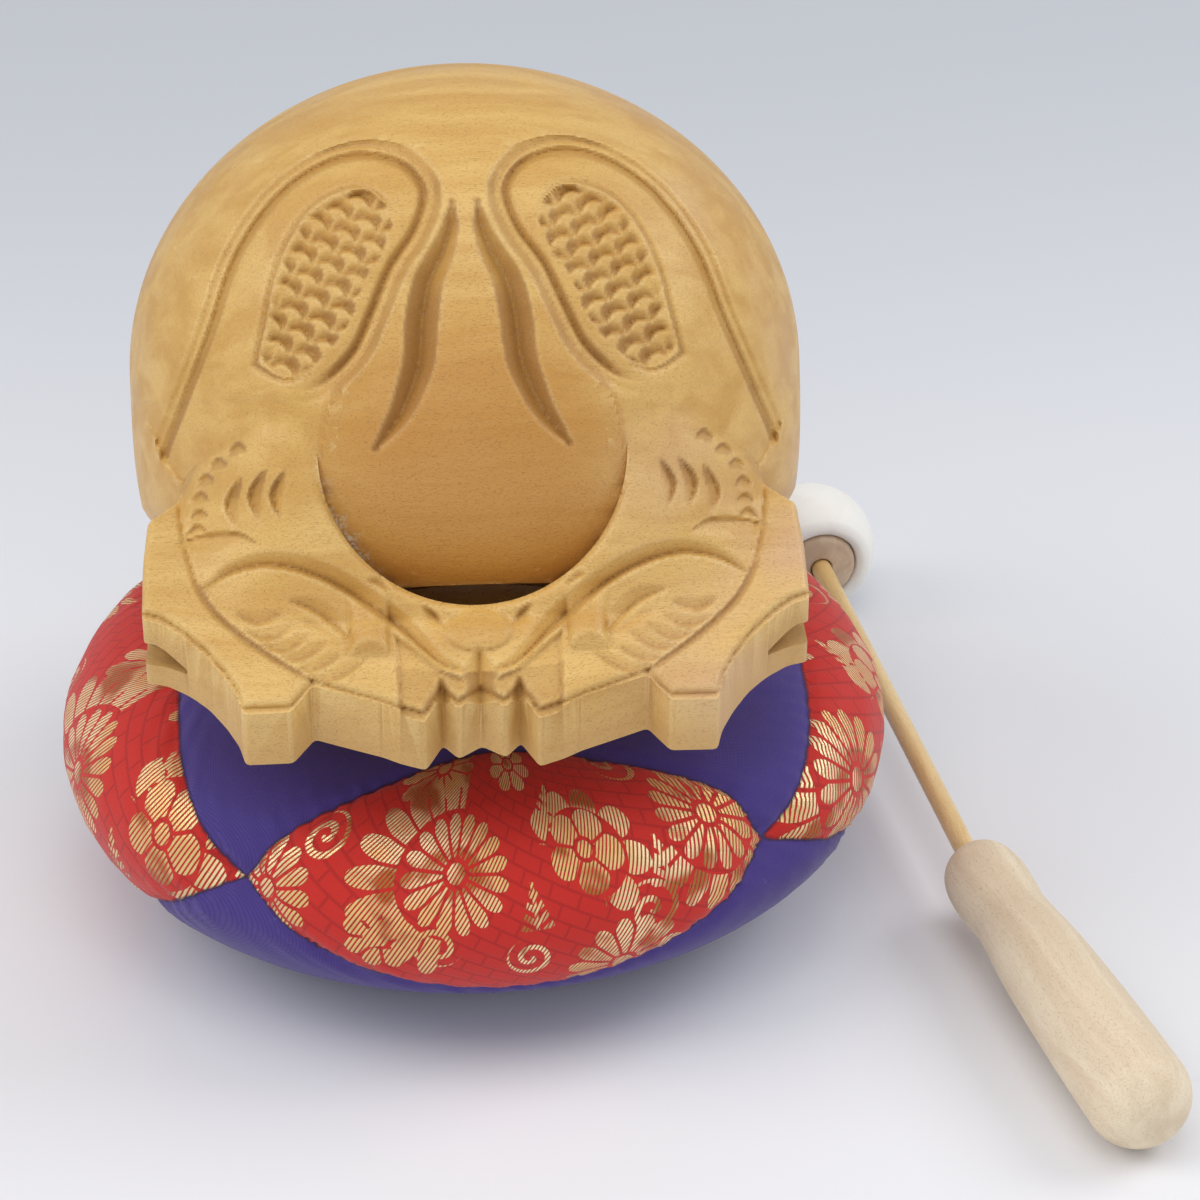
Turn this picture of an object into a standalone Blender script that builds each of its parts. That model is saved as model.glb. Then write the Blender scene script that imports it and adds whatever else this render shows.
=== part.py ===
"""A carved wooden fish (mokugyo), the slit bell of a temple, on its round cushion, with its striker.

Metres, +Z up. The origin is the middle of the cushion's underside, and the carved front looks along -Y.
The fish is carved from one block: a hollow round body, a front slab with the two fish heads that serves as
the handle, a round hand hole behind it, and the mouth slit that runs round the sides and the back.
"""
import math

import bmesh
import bpy
import numpy as np
from mathutils import Matrix, Vector

# The fish. Its carving is given in shares of the width: one SHARE is a 135th of it.
FISH_WIDTH = 0.135
SHARE = FISH_WIDTH / 135
BODY_ROUND = 60.75 * SHARE        # radius of the body seen from the side
BODY_BACK = 14.0 * SHARE          # the body's middle lies this far behind the origin
BODY_RISE = 51.5 * SHARE          # and this far above the seat
BODY_JOWL, JOWL_REACH = 0.088, 27.0       # the body is wider by this much below its middle, seen from the face
CHAMBER_WALL = 0.012              # wood left round the hollow
CHAMBER_FLOOR = 0.0155            # wood left under it
SLIT_HEIGHT = 0.0047              # the open mouth
SLIT_RISE = 24.8 * SHARE          # its lower lip above the seat
SLIT_FRONT = -46.0 * SHARE        # where the slit stops behind the front bar

# The cushion.
CUSHION_RADIUS = 0.088
CUSHION_FRONT = 0.081             # the fish's weight pushes the front in to this
CUSHION_HEIGHT = 0.0572
CUSHION_WAIST = 0.0345            # height of its widest place
CUSHION_FOOT = 0.030              # radius of the flat underside
CUSHION_SEAT = 0.052              # radius of the flat that the fish presses in the top
REST_GAP = 0.0003                 # between pieces that touch

# The striker, which lies on the floor beside the cushion.
HEAD_RADIUS = 0.0152
CORE_RADIUS = 0.0085
CORE_LENGTH = 0.0150
CORE_PROUD = 0.0022               # how far the core stands out of the head
HEAD_FLAT = 0.0080                # from the head's middle to its flat face
SHAFT_RADIUS = 0.0023
SHAFT_SOCKET = 0.0110             # how deep the rod sits at each end
GRIP_RADIUS = 0.0104
GRIP_LENGTH = 0.0870
STRIKER_REACH = 0.1265            # from the head's middle to the grip's nose
STRIKER_BEARING = math.radians(8.9)
GRIP_TURN = math.radians(6.4)     # the grip sits a little askew on the rod
STRIKER_STANDOFF = 0.0083         # from the cushion's side to the rod's axis
HEAD_ALONG = 0.0819               # the head's middle along the rod's line, past the cushion's middle

# Fineness of the faceted solids.
CARVING_STEP = 2.35 * SHARE
BODY_SEGMENTS = 44
BODY_RINGS = 22
CHAMBER_SEGMENTS = 18
CUSHION_SEGMENTS = 26
TURNED_SEGMENTS = 14

# The carved face leans back, and is drawn in its own frame: u across, v up the face, w out of it.
FACE_LEAN = math.radians(32)
FACE_FOOT = 2.5 * SHARE           # height of the face frame's origin above the seat
COS, SIN = math.cos(FACE_LEAN), math.sin(FACE_LEAN)

# The front slab that carries the heads.
SLAB_TOP_V, SLAB_TOP_W = -17.3, 74.1      # the tooth line on the face, in shares
SLAB_SLOPE = 0.648                        # fall of the slab's rim band along the face
HOLE_V, HOLE_RADIUS = 29.4, 29.0          # the hand hole
HEADS_RADIUS = 56.0                       # where the rim band's inner line runs, round the hole
ARMS_RISE = 13.0                          # the arms run out on the body this far above the hole's middle
RIM_W = 66.0                              # how far out the hole's rim stands
SLAB_OUTLINE = (                          # plan of the right half: middle notch, teeth, scallop, side, shoulder
    (0.0, -69.6), (4.4, -72.0), (7.3, -69.2), (10.6, -74.2), (15.4, -72.6), (18.4, -71.2), (31.2, -67.0),
    (35.2, -71.7), (44.0, -71.8), (45.2, -68.0), (47.6, -64.2), (51.0, -60.0), (55.2, -56.2), (59.2, -53.4),
    (62.9, -52.2), (62.9, -42.0), (62.2, -33.4), (57.0, -29.5), (44.0, 4.0),
)
UNDERSIDE = ((-90.0, 7.5), (-72.0, 14.2), (-54.0, 20.5), (-34.0, 17.0), (-20.0, 8.0), (-10.0, -2.0), (-90.0, -2.0))

# The carving's lines on the right half of the face, as (u, v) points in shares.
WHISKER = ((3.2, 75.5), (3.2, 70.5), (5.0, 65.5), (7.2, 60.5), (9.0, 54.0), (9.8, 46.0), (11.2, 40.5),
           (13.8, 35.3), (18.2, 29.8))
BORDER = ((62.4, 21.0), (61.0, 31.0), (56.0, 41.5), (50.0, 54.5), (44.8, 68.0), (37.4, 78.8), (28.6, 85.3),
          (19.5, 87.6), (11.0, 85.0), (6.6, 78.5), (8.6, 70.5), (13.4, 63.2), (17.0, 55.0), (20.8, 47.5),
          (27.0, 42.0), (36.0, 40.5))
SCALE_BED = ((40.2, 46.8), (38.2, 55.0), (36.3, 63.0), (33.2, 70.5), (29.2, 76.0), (24.5, 78.9), (19.4, 79.6),
             (15.4, 77.0), (13.4, 71.5), (15.4, 66.0), (19.0, 60.5), (21.4, 54.0), (25.0, 49.0), (29.6, 45.0),
             (35.0, 43.8))
BROW = ((51.0, 5.2), (46.0, 8.0), (40.2, 9.2), (34.8, 8.6), (29.6, 6.8), (25.0, 4.4), (20.6, 1.3), (16.2, -2.0),
        (12.6, -5.2), (9.4, -8.4), (6.4, -10.8), (2.4, -12.0))
TUFTS = (((38.6, 27.4), (41.4, 23.2), (40.0, 17.6)), ((33.8, 27.2), (36.6, 22.8), (35.0, 17.8)),
         ((44.4, 31.0), (47.6, 28.4), (49.6, 25.4)), ((47.0, 21.6), (50.6, 19.6), (52.6, 16.2)),
         ((36.0, 15.6), (42.0, 13.6), (49.6, 14.6)))
GILLS = 6
GILL_FIRST, GILL_STEP = (41.0, -1.4), (-2.66, -2.2)
SCALE_PITCH = 4.7


def face_point(u, v, w):
    """A point of the face frame, in shares, as a place over the seat in metres."""
    y = v * SIN - w * COS
    z = v * COS + w * SIN
    return u * SHARE, y * SHARE, z * SHARE + FACE_FOOT


def body_middle():
    """The body's middle in the face frame, in shares."""
    rise = (BODY_RISE - FACE_FOOT) / SHARE
    back = BODY_BACK / SHARE
    return rise * COS + back * SIN, rise * SIN - back * COS


def jowl(v):
    """How much wider than an ellipsoid the body is at a height on the face."""
    return 1 + BODY_JOWL * np.clip((body_middle()[0] - v) / JOWL_REACH, 0.0, 1.0) ** 2


def body_front(u, v):
    """How far out the round body stands at a point of the face."""
    middle_v, middle_w = body_middle()
    radius = BODY_ROUND / SHARE
    half_width = FISH_WIDTH / 2 / SHARE * jowl(v)
    within = 1 - (u / half_width) ** 2 - ((v - middle_v) / radius) ** 2
    return middle_w + radius * np.sqrt(np.maximum(0.0, within))


def slab_front(u, v):
    """How far out the slab stands: a flat rim band, and inside it the heads and arms, which swell to the hole."""
    band = SLAB_TOP_W - SLAB_SLOPE * (v - SLAB_TOP_V)
    from_hole = np.hypot(u, v - HOLE_V)
    swell = np.clip((HEADS_RADIUS - from_hole) / (HEADS_RADIUS - HOLE_RADIUS), 0.0, 1.0)
    rim = np.maximum(RIM_W, band + 2.0)
    slab = band + (rim - band) * (1 - (1 - swell) ** 2)
    into_body = np.clip((v - HOLE_V - 4.0) / 8.0, 0.0, 1.0)
    return slab + (body_front(u, v) + 0.1 - slab) * into_body ** 2 * (3 - 2 * into_body)


def along(u, v, path):
    """Distance from each point to a path, and how far along the path its nearest point is, from 0 to 1."""
    path = np.array(path, float)
    lengths = np.hypot(*(path[1:] - path[:-1]).T)
    run, total = 0.0, lengths.sum()
    near = np.full(np.shape(u), 1e9)
    share = np.zeros(np.shape(u))
    for start, end, length in zip(path[:-1], path[1:], lengths):
        du, dv = (end - start) / length
        t = np.clip((u - start[0]) * du + (v - start[1]) * dv, 0.0, length)
        gap = np.hypot(u - start[0] - t * du, v - start[1] - t * dv)
        closer = gap < near
        near = np.where(closer, gap, near)
        share = np.where(closer, (run + t) / total, share)
        run += length
    return near, share


def inside(u, v, outline):
    """Signed distance to a closed outline, positive inside it."""
    ring = list(outline) + [outline[0]]
    near, _ = along(u, v, ring)
    crossings = np.zeros(np.shape(u), int)
    for (u0, v0), (u1, v1) in zip(ring[:-1], ring[1:]):
        spans = (v0 > v) != (v1 > v)
        at = u0 + (v - v0) * (u1 - u0) / (v1 - v0 if v1 != v0 else 1e-9)
        crossings += spans & (u < at)
    return np.where(crossings % 2 == 1, near, -near)


def gouge(u, v, path, half_width, depth):
    """A tapered V cut along a path: full in the middle, running out at both ends."""
    near, share = along(u, v, path)
    width = half_width * np.maximum(0.12, np.sin(math.pi * share)) ** 0.6
    return depth * np.clip(1 - near / width, 0.0, 1.0)


def scales(u, v):
    """Rows of overlapping scales, each rising from under the one above to its round lower edge."""
    row = np.floor(v / SCALE_PITCH)
    across = (u / SCALE_PITCH + 0.5 * (row % 2)) % 1.0 - 0.5
    down = 1 - (v / SCALE_PITCH - row) - 0.55 * (1 - 4 * across ** 2)
    return 0.9 * (down % 1.0)


def carving(u, v):
    """Depth of the cuts in the right half, in shares."""
    cut = gouge(u, v, WHISKER, 2.6, 2.8)
    border, _ = along(u, v, BORDER)
    cut = np.maximum(cut, 1.5 * np.clip(1 - border / 2.3, 0.0, 1.0))
    bed = inside(u, v, SCALE_BED)
    cut = np.maximum(cut, np.clip(bed / 2.0, 0.0, 1.0) * (2.0 - scales(u, v)))
    cut = np.maximum(cut, gouge(u, v, BROW, 1.9, 2.4))
    for number in range(GILLS):
        mid_u = GILL_FIRST[0] + number * GILL_STEP[0]
        mid_v = GILL_FIRST[1] + number * GILL_STEP[1]
        arc = ((mid_u - 4.8, mid_v + 2.0), (mid_u, mid_v), (mid_u + 4.4, mid_v + 1.8))
        cut = np.maximum(cut, gouge(u, v, arc, 1.1, 1.3))
    for tuft in TUFTS:
        cut = np.maximum(cut, gouge(u, v, tuft, 1.5, 1.5))
    return cut


def face_height(u, v):
    """The carved front of the whole fish. Where nothing is cut it floats just outside the body."""
    round_body = body_front(u, v)
    from_hole = np.hypot(u, v - HOLE_V)
    on_slab = (from_hole > HOLE_RADIUS - 1.1 * CARVING_STEP / SHARE) & (v < HOLE_V + ARMS_RISE)
    flat = np.where(on_slab, np.maximum(slab_front(u, v), round_body - 0.3), round_body)
    cut = carving(np.abs(u), v)
    heads = (from_hole < HEADS_RADIUS) & (v < 4)
    eye = np.hypot(np.abs(u) - 20.3, v + 6.6)
    flat = flat + np.where(heads, 1.2 * np.clip(1 - eye / 4.0, 0.0, 1.0), 0.0)
    pearl = np.hypot(u, 1.3 * (v + 4.6))
    flat = flat + np.where(heads, 1.6 * np.clip(1 - pearl / 6.0, 0.0, 1.0), 0.0)
    clear = np.where(on_slab, 0.0, 1.0) * np.clip(1 - cut / 0.4, 0.0, 1.0)
    return flat - cut + clear


def mesh_object(name, mesh):
    """A new object of a mesh."""
    built = bpy.data.objects.new(name, mesh)
    bpy.context.scene.collection.objects.link(built)
    return built


def finish(built, colour, roughness):
    """Gives a piece its own material, and shades it smooth over its soft edges."""
    material = bpy.data.materials.new(built.name)
    material.use_nodes = True
    shader = material.node_tree.nodes["Principled BSDF"]
    shader.inputs["Base Color"].default_value = (*colour, 1.0)
    shader.inputs["Roughness"].default_value = roughness
    shader.inputs["Metallic"].default_value = 0.0
    built.data.materials.append(material)
    built.data.shade_smooth()
    built.data.set_sharp_from_angle(angle=math.radians(40))
    return built


def to_mesh(name, bm):
    """The bmesh as a mesh, with its faces pointing out."""
    bmesh.ops.recalc_face_normals(bm, faces=bm.faces)
    mesh = bpy.data.meshes.new(name)
    bm.to_mesh(mesh)
    bm.free()
    return mesh


def as_cutter(built):
    """Marks an object as a tool, which isn't part of the model."""
    built.hide_render = True
    built.display_type = "WIRE"
    return built


def boolean(target, tool, operation):
    """Adds an exact Boolean to the target."""
    step = target.modifiers.new(tool.name, "BOOLEAN")
    step.operation = operation
    step.solver = "EXACT"
    step.object = tool


def ellipsoid(name, middle, radii, segments, rings):
    """A closed ellipsoid. Its poles lie left and right, so that the facets are even over the front."""
    bm = bmesh.new()
    bmesh.ops.create_uvsphere(bm, u_segments=segments, v_segments=rings, radius=1.0)
    bmesh.ops.rotate(bm, verts=bm.verts, cent=(0, 0, 0), matrix=Matrix.Rotation(math.pi / 2, 3, "Y"))
    bmesh.ops.scale(bm, verts=bm.verts, vec=radii)
    bmesh.ops.translate(bm, verts=bm.verts, vec=middle)
    return mesh_object(name, to_mesh(name, bm))


def prism(name, outline, low, high, place):
    """A closed prism: an outline of pairs between two levels, with place giving each corner's point."""
    bm = bmesh.new()
    lower = [bm.verts.new(place(a, b, low)) for a, b in outline]
    upper = [bm.verts.new(place(a, b, high)) for a, b in outline]
    bm.faces.new(lower)
    bm.faces.new(upper)
    for near in range(len(outline)):
        far = (near + 1) % len(outline)
        bm.faces.new((lower[near], lower[far], upper[far], upper[near]))
    return mesh_object(name, to_mesh(name, bm))


def in_plan(a, b, level):
    """Across and back, at a height."""
    return a * SHARE, b * SHARE, level * SHARE


def in_side_view(a, b, level):
    """Back and up, at a distance across."""
    return level * SHARE, a * SHARE, b * SHARE


def hand_hole():
    """The round hole, bored square to the leaning face."""
    steps = 40
    ring = [(HOLE_RADIUS * math.sin(2 * math.pi * i / steps), HOLE_V + HOLE_RADIUS * math.cos(2 * math.pi * i / steps))
            for i in range(steps)]
    return prism("hand_hole", ring, 20.0, 120.0, face_point)


def slab():
    """The front slab before it is carved: its notched plan, bored by the hand hole and hollowed beneath."""
    left = [(-u, v) for u, v in reversed(SLAB_OUTLINE) if u > 0]
    block = prism("slab", list(SLAB_OUTLINE) + left, 10.0, 90.0, in_plan)
    boolean(block, as_cutter(hand_hole()), "DIFFERENCE")
    below = prism("below_slab", UNDERSIDE, -90.0, 90.0, in_side_view)
    boolean(block, as_cutter(below), "DIFFERENCE")
    top = HOLE_V + ARMS_RISE
    over = ((-90.0, top), (90.0, top), (90.0, top + 90), (-90.0, top + 90))
    above = prism("above_slab", over, 0.0, 150.0, face_point)
    boolean(block, as_cutter(above), "DIFFERENCE")
    return as_cutter(block)


def carver():
    """Everything in front of the carved face, as one block with the face for its back."""
    step = CARVING_STEP / SHARE
    columns = int(math.ceil(70.0 / step))
    low_v, high_v, front = -30.0, 92.0, 110.0
    rows = int(math.ceil((high_v - low_v) / step))
    us = np.linspace(-70.0, 70.0, 2 * columns + 1)
    vs = np.linspace(low_v, high_v, rows + 1)
    u, v = np.meshgrid(us, vs)
    w = face_height(u, v)
    bm = bmesh.new()
    back = [[bm.verts.new(face_point(u[j, i], v[j, i], w[j, i])) for i in range(len(us))] for j in range(len(vs))]
    for j in range(len(vs) - 1):
        for i in range(len(us) - 1):
            bm.faces.new((back[j][i], back[j][i + 1], back[j + 1][i + 1], back[j + 1][i]))
    rim = [edge for edge in bm.edges if len(edge.link_faces) == 1]
    walls = bmesh.ops.extrude_edge_only(bm, edges=rim)["geom"]
    outward = Vector((0.0, -COS, SIN))
    foot = Vector((0.0, 0.0, FACE_FOOT))
    for corner in (item for item in walls if isinstance(item, bmesh.types.BMVert)):
        corner.co += outward * (front * SHARE - (corner.co - foot).dot(outward))
    open_edges = [edge for edge in bm.edges if len(edge.link_faces) == 1]
    bmesh.ops.contextual_create(bm, geom=open_edges)
    return mesh_object("carver", to_mesh("carver", bm))


def mouth_slit():
    """The slit: level, open at the sides and the back, with a knife edge where it runs out at the front corners."""
    low = SLIT_RISE / SHARE
    high = low + SLIT_HEIGHT / SHARE
    stop = SLIT_FRONT / SHARE
    plan = ((-90.0, -52.0), (-62.0, -50.0), (-50.0, stop), (50.0, stop), (62.0, -50.0), (90.0, -52.0),
            (90.0, 95.0), (-90.0, 95.0))
    slit = prism("mouth_slit", plan, low, high, in_plan)
    return slit


def slit_corner(side):
    """The wedge by which the slit runs out on the slab's scalloped corner."""
    low = SLIT_RISE / SHARE
    high = low + SLIT_HEIGHT / SHARE
    points = ((48.0, -47.0, low), (56.6, -59.0, low + 0.2), (90.0, -66.0, low - 0.3), (90.0, -48.0, low),
              (48.0, -47.0, high), (90.0, -66.0, high), (90.0, -48.0, high))
    bm = bmesh.new()
    corners = [bm.verts.new(in_plan(side * x, y, z)) for x, y, z in points]
    bmesh.ops.convex_hull(bm, input=corners)
    return mesh_object("slit_corner", to_mesh("slit_corner", bm))


def wooden_fish():
    """The fish, with its flat seat on the cushion."""
    middle = (0.0, BODY_BACK, BODY_RISE)
    fish = ellipsoid("wooden_fish", middle, (FISH_WIDTH / 2, BODY_ROUND, BODY_ROUND), BODY_SEGMENTS, BODY_RINGS)
    for corner in fish.data.vertices:
        up_face = (corner.co.y * SIN + (corner.co.z - FACE_FOOT) * COS) / SHARE
        corner.co.x *= float(jowl(up_face))
    boolean(fish, slab(), "UNION")
    boolean(fish, as_cutter(carver()), "DIFFERENCE")
    square = ((-90.0, -90.0), (90.0, -90.0), (90.0, 90.0), (-90.0, 90.0))
    below_seat = prism("below_seat", square, -30.0, 0.0, in_plan)
    boolean(fish, as_cutter(below_seat), "DIFFERENCE")
    inner = BODY_ROUND - CHAMBER_WALL
    roof = BODY_RISE + inner
    half_rise = (roof - CHAMBER_FLOOR) / 2
    chamber = ellipsoid("chamber", (0.0, BODY_BACK, roof - half_rise),
                        (FISH_WIDTH / 2 - CHAMBER_WALL, inner, half_rise), CHAMBER_SEGMENTS, CHAMBER_SEGMENTS // 2)
    boolean(fish, as_cutter(chamber), "DIFFERENCE")
    boolean(fish, as_cutter(mouth_slit()), "DIFFERENCE")
    for side in (-1, 1):
        boolean(fish, as_cutter(slit_corner(side)), "DIFFERENCE")
    throat = ellipsoid("throat", in_plan(0.0, -38.0, 28.0), [r * SHARE for r in (25.0, 12.0, 9.0)], 16, 10)
    boolean(fish, as_cutter(throat), "DIFFERENCE")
    fish.location.z = CUSHION_HEIGHT + REST_GAP
    for step in fish.modifiers:
        step.object.parent = fish
    for step in bpy.data.objects["slab"].modifiers:
        step.object.parent = bpy.data.objects["slab"]
    return finish(fish, (0.66, 0.42, 0.15), 0.42)


def turned(name, profile, segments):
    """A turned piece about +X: profile pairs are (along, radius), from one end on the axis to the other."""
    bm = bmesh.new()
    line = [bm.verts.new((x, 0.0, r)) for x, r in profile]
    edges = [bm.edges.new(pair) for pair in zip(line[:-1], line[1:])]
    bmesh.ops.spin(bm, geom=line + edges, cent=(0, 0, 0), axis=(1, 0, 0), angle=2 * math.pi, steps=segments,
                   use_merge=True)
    bmesh.ops.remove_doubles(bm, verts=bm.verts, dist=0.00001)
    return mesh_object(name, to_mesh(name, bm))


def bulge(middle_x, middle_r, radius_x, radius_r, start, end, steps):
    """Points of an elliptic arc of a turned profile, angles in degrees from the axis."""
    angles = [math.radians(start + (end - start) * i / steps) for i in range(steps + 1)]
    return [(middle_x - radius_x * math.cos(a), middle_r + radius_r * math.sin(a)) for a in angles]


def cushion():
    """The stuffed cushion: a soft round form, flat where it stands and where the fish presses it."""
    above_waist = CUSHION_HEIGHT - CUSHION_WAIST
    steps = 7
    profile = [(0.0, 0.0), (0.0, CUSHION_FOOT)]
    for i in range(1, steps):
        angle = math.pi / 2 * i / steps
        reach = CUSHION_FOOT + (CUSHION_RADIUS - CUSHION_FOOT) * math.sin(angle)
        profile.append((CUSHION_WAIST * (1 - math.cos(angle)), reach))
    profile.append((CUSHION_WAIST, CUSHION_RADIUS))
    for i in range(steps - 1, 0, -1):
        angle = math.pi / 2 * i / steps
        reach = CUSHION_SEAT + (CUSHION_RADIUS - CUSHION_SEAT) * math.sin(angle) ** 0.85
        profile.append((CUSHION_WAIST + above_waist * math.cos(angle), reach))
    profile += [(CUSHION_HEIGHT, CUSHION_SEAT), (CUSHION_HEIGHT, 0.0)]
    built = turned("cushion", profile, CUSHION_SEGMENTS)
    built.data.transform(Matrix.Rotation(-math.pi / 2, 4, "Y"))
    for corner in built.data.vertices:
        if corner.co.y < 0:
            ahead = corner.co.y ** 2 / (corner.co.x ** 2 + corner.co.y ** 2)
            squeeze = 1 - (1 - CUSHION_FRONT / CUSHION_RADIUS) * ahead
            corner.co.x *= squeeze
            corner.co.y *= squeeze
    return finish(built, (0.72, 0.05, 0.03), 0.75)


def striker():
    """The striker: head, core, rod and grip, lying on the floor beside the cushion."""
    bearing = STRIKER_BEARING
    across = CUSHION_RADIUS + STRIKER_STANDOFF
    ahead = Vector((math.sin(bearing), -math.cos(bearing), 0.0))
    middle = Vector((across * math.cos(bearing), across * math.sin(bearing), 0.0)) - ahead * HEAD_ALONG
    grip_rest = STRIKER_REACH + GRIP_LENGTH * 0.86
    dip = math.asin((HEAD_RADIUS - GRIP_RADIUS - REST_GAP) / grip_rest)
    stand = bpy.data.objects.new("striker_axis", None)
    bpy.context.scene.collection.objects.link(stand)
    stand.location = (middle.x, middle.y, HEAD_RADIUS)
    stand.rotation_euler = (0.0, dip, bearing - math.pi / 2)

    flat_r = math.sqrt(HEAD_RADIUS ** 2 - HEAD_FLAT ** 2)
    opening = math.degrees(math.atan2(flat_r, -HEAD_FLAT))
    core_end = HEAD_FLAT + CORE_PROUD
    core_start = core_end - CORE_LENGTH
    bore = CORE_RADIUS + REST_GAP
    cap = bulge(0.0, 0.0, HEAD_RADIUS, HEAD_RADIUS, 0, opening, 10)
    cap += [(HEAD_FLAT, bore), (core_start - REST_GAP, bore), (core_start - REST_GAP, 0.0)]
    head = finish(turned("striker_head", cap, TURNED_SEGMENTS), (0.86, 0.84, 0.78), 0.7)

    socket = SHAFT_RADIUS + REST_GAP
    bottom = core_end - SHAFT_SOCKET
    edge = 0.0012
    plug = [(core_start, 0.0), (core_start, CORE_RADIUS), (core_end - edge, CORE_RADIUS),
            (core_end, CORE_RADIUS - edge), (core_end, socket), (bottom, socket), (bottom, 0.0)]
    core = finish(turned("striker_core", plug, TURNED_SEGMENTS), (0.70, 0.50, 0.32), 0.5)

    rod_start = bottom + REST_GAP
    rod_end = STRIKER_REACH + SHAFT_SOCKET
    line = [(rod_start, 0.0), (rod_start, SHAFT_RADIUS), (rod_end, SHAFT_RADIUS), (rod_end, 0.0)]
    rod = finish(turned("striker_shaft", line, TURNED_SEGMENTS), (0.72, 0.45, 0.16), 0.4)

    nose, waist = 0.0085, 0.0079
    profile = [(0.0, 0.0), (0.0, 0.0036), (0.0016, 0.0060), (0.0045, 0.0078), (0.0090, nose), (0.0150, 0.0083),
               (0.0205, waist), (0.0270, 0.0085), (0.0360, 0.0094), (0.0520, 0.0099)]
    dome = GRIP_RADIUS * 0.95
    profile += bulge(GRIP_LENGTH - dome, 0.0, dome, GRIP_RADIUS, 90, 180, 5)
    grip = finish(turned("striker_handle", profile, TURNED_SEGMENTS), (0.78, 0.66, 0.48), 0.55)
    grip.location.x = STRIKER_REACH
    grip.rotation_euler.z = GRIP_TURN
    deep = SHAFT_SOCKET + REST_GAP
    drill = turned("grip_socket", [(-deep, 0.0), (-deep, socket), (deep, socket), (deep, 0.0)], TURNED_SEGMENTS)
    drill.location.x = STRIKER_REACH
    boolean(grip, as_cutter(drill), "DIFFERENCE")
    for piece in (head, core, rod, grip, drill):
        piece.parent = stand


def main():
    """Clears the file and models every piece."""
    for old in list(bpy.data.objects):
        bpy.data.objects.remove(old, do_unlink=True)
    wooden_fish()
    cushion()
    striker()


main()
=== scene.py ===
"""Dresses the carved wooden fish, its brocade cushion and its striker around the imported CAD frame."""
import logging
import math
from contextlib import contextmanager
from dataclasses import dataclass, field
from enum import Enum
from typing import Callable, Dict, Iterator, Optional, Sequence, Tuple, Union

import bmesh
import bpy
import numpy as np
from mathutils import Matrix, Vector


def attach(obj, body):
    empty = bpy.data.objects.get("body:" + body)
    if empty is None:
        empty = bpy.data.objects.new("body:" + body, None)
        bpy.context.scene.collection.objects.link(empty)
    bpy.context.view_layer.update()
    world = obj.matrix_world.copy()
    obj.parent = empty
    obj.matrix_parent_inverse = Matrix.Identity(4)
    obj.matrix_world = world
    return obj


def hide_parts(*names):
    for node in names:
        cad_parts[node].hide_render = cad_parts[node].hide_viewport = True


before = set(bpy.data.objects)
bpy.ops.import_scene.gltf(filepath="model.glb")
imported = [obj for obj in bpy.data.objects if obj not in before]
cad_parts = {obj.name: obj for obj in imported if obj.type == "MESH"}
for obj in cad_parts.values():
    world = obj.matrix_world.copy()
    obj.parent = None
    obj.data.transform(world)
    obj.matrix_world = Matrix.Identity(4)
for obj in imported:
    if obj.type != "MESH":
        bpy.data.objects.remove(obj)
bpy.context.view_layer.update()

LOG = logging.getLogger("wooden_fish")
MM = 0.001
ROOT = "root"

Pair = Tuple[float, float]
Triple = Tuple[float, float, float]
Path = Sequence[Pair]
Colour = Triple
Obj = bpy.types.Object
Look = bpy.types.Material
Tree = bpy.types.NodeTree
Socket = bpy.types.NodeSocket
Array = np.ndarray
Feed = Union[float, int, Sequence[float], Socket, None]


# ------------------------------------------------------------------ modelling by hand

def deselect() -> None:
    """Leaves nothing selected."""
    bpy.ops.object.select_all(action="DESELECT")


def activate(obj: Obj) -> Obj:
    """Selects one object alone and makes it active."""
    deselect()
    obj.select_set(True)
    bpy.context.view_layer.objects.active = obj
    return obj


@contextmanager
def editing(obj: Obj) -> Iterator[Obj]:
    """Edit mode on one object, for as long as the block lasts."""
    activate(obj)
    bpy.ops.object.mode_set(mode="EDIT")
    yield obj
    bpy.ops.object.mode_set(mode="OBJECT")


def named(name: str) -> Obj:
    """Names the object that an operator has just added."""
    obj = bpy.context.active_object
    obj.name = name
    obj.data.name = name
    return obj


def places(obj: Obj) -> Array:
    """Every vertex of a mesh, in metres, as rows of x, y and z."""
    flat = np.empty(len(obj.data.vertices) * 3)
    obj.data.vertices.foreach_get("co", flat)
    return flat.reshape(-1, 3)


def normals(obj: Obj) -> Array:
    """Every vertex normal of a mesh, as rows."""
    flat = np.empty(len(obj.data.vertices) * 3)
    obj.data.vertices.foreach_get("normal", flat)
    return flat.reshape(-1, 3)


def move_to(obj: Obj, points: Array) -> None:
    """Puts every vertex at its new place.

    Args:
        obj: The mesh object.
        points: Rows of x, y and z in metres, in the mesh's own order.
    """
    obj.data.vertices.foreach_set("co", np.ascontiguousarray(points, float).ravel())
    obj.data.update()


def apply_modifiers(obj: Obj) -> None:
    """Applies all the modifiers of an object, in order."""
    activate(obj)
    for step in list(obj.modifiers):
        bpy.ops.object.modifier_apply(modifier=step.name)


def face_outwards(obj: Obj, merge: float = 0.0) -> None:
    """Merges doubles if asked, and turns every face outwards.

    Args:
        obj: The mesh object.
        merge: Merging distance in metres, or 0 to merge nothing.
    """
    with editing(obj):
        bpy.ops.mesh.select_all(action="SELECT")
        if merge:
            bpy.ops.mesh.remove_doubles(threshold=merge)
        bpy.ops.mesh.normals_make_consistent(inside=False)


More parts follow.
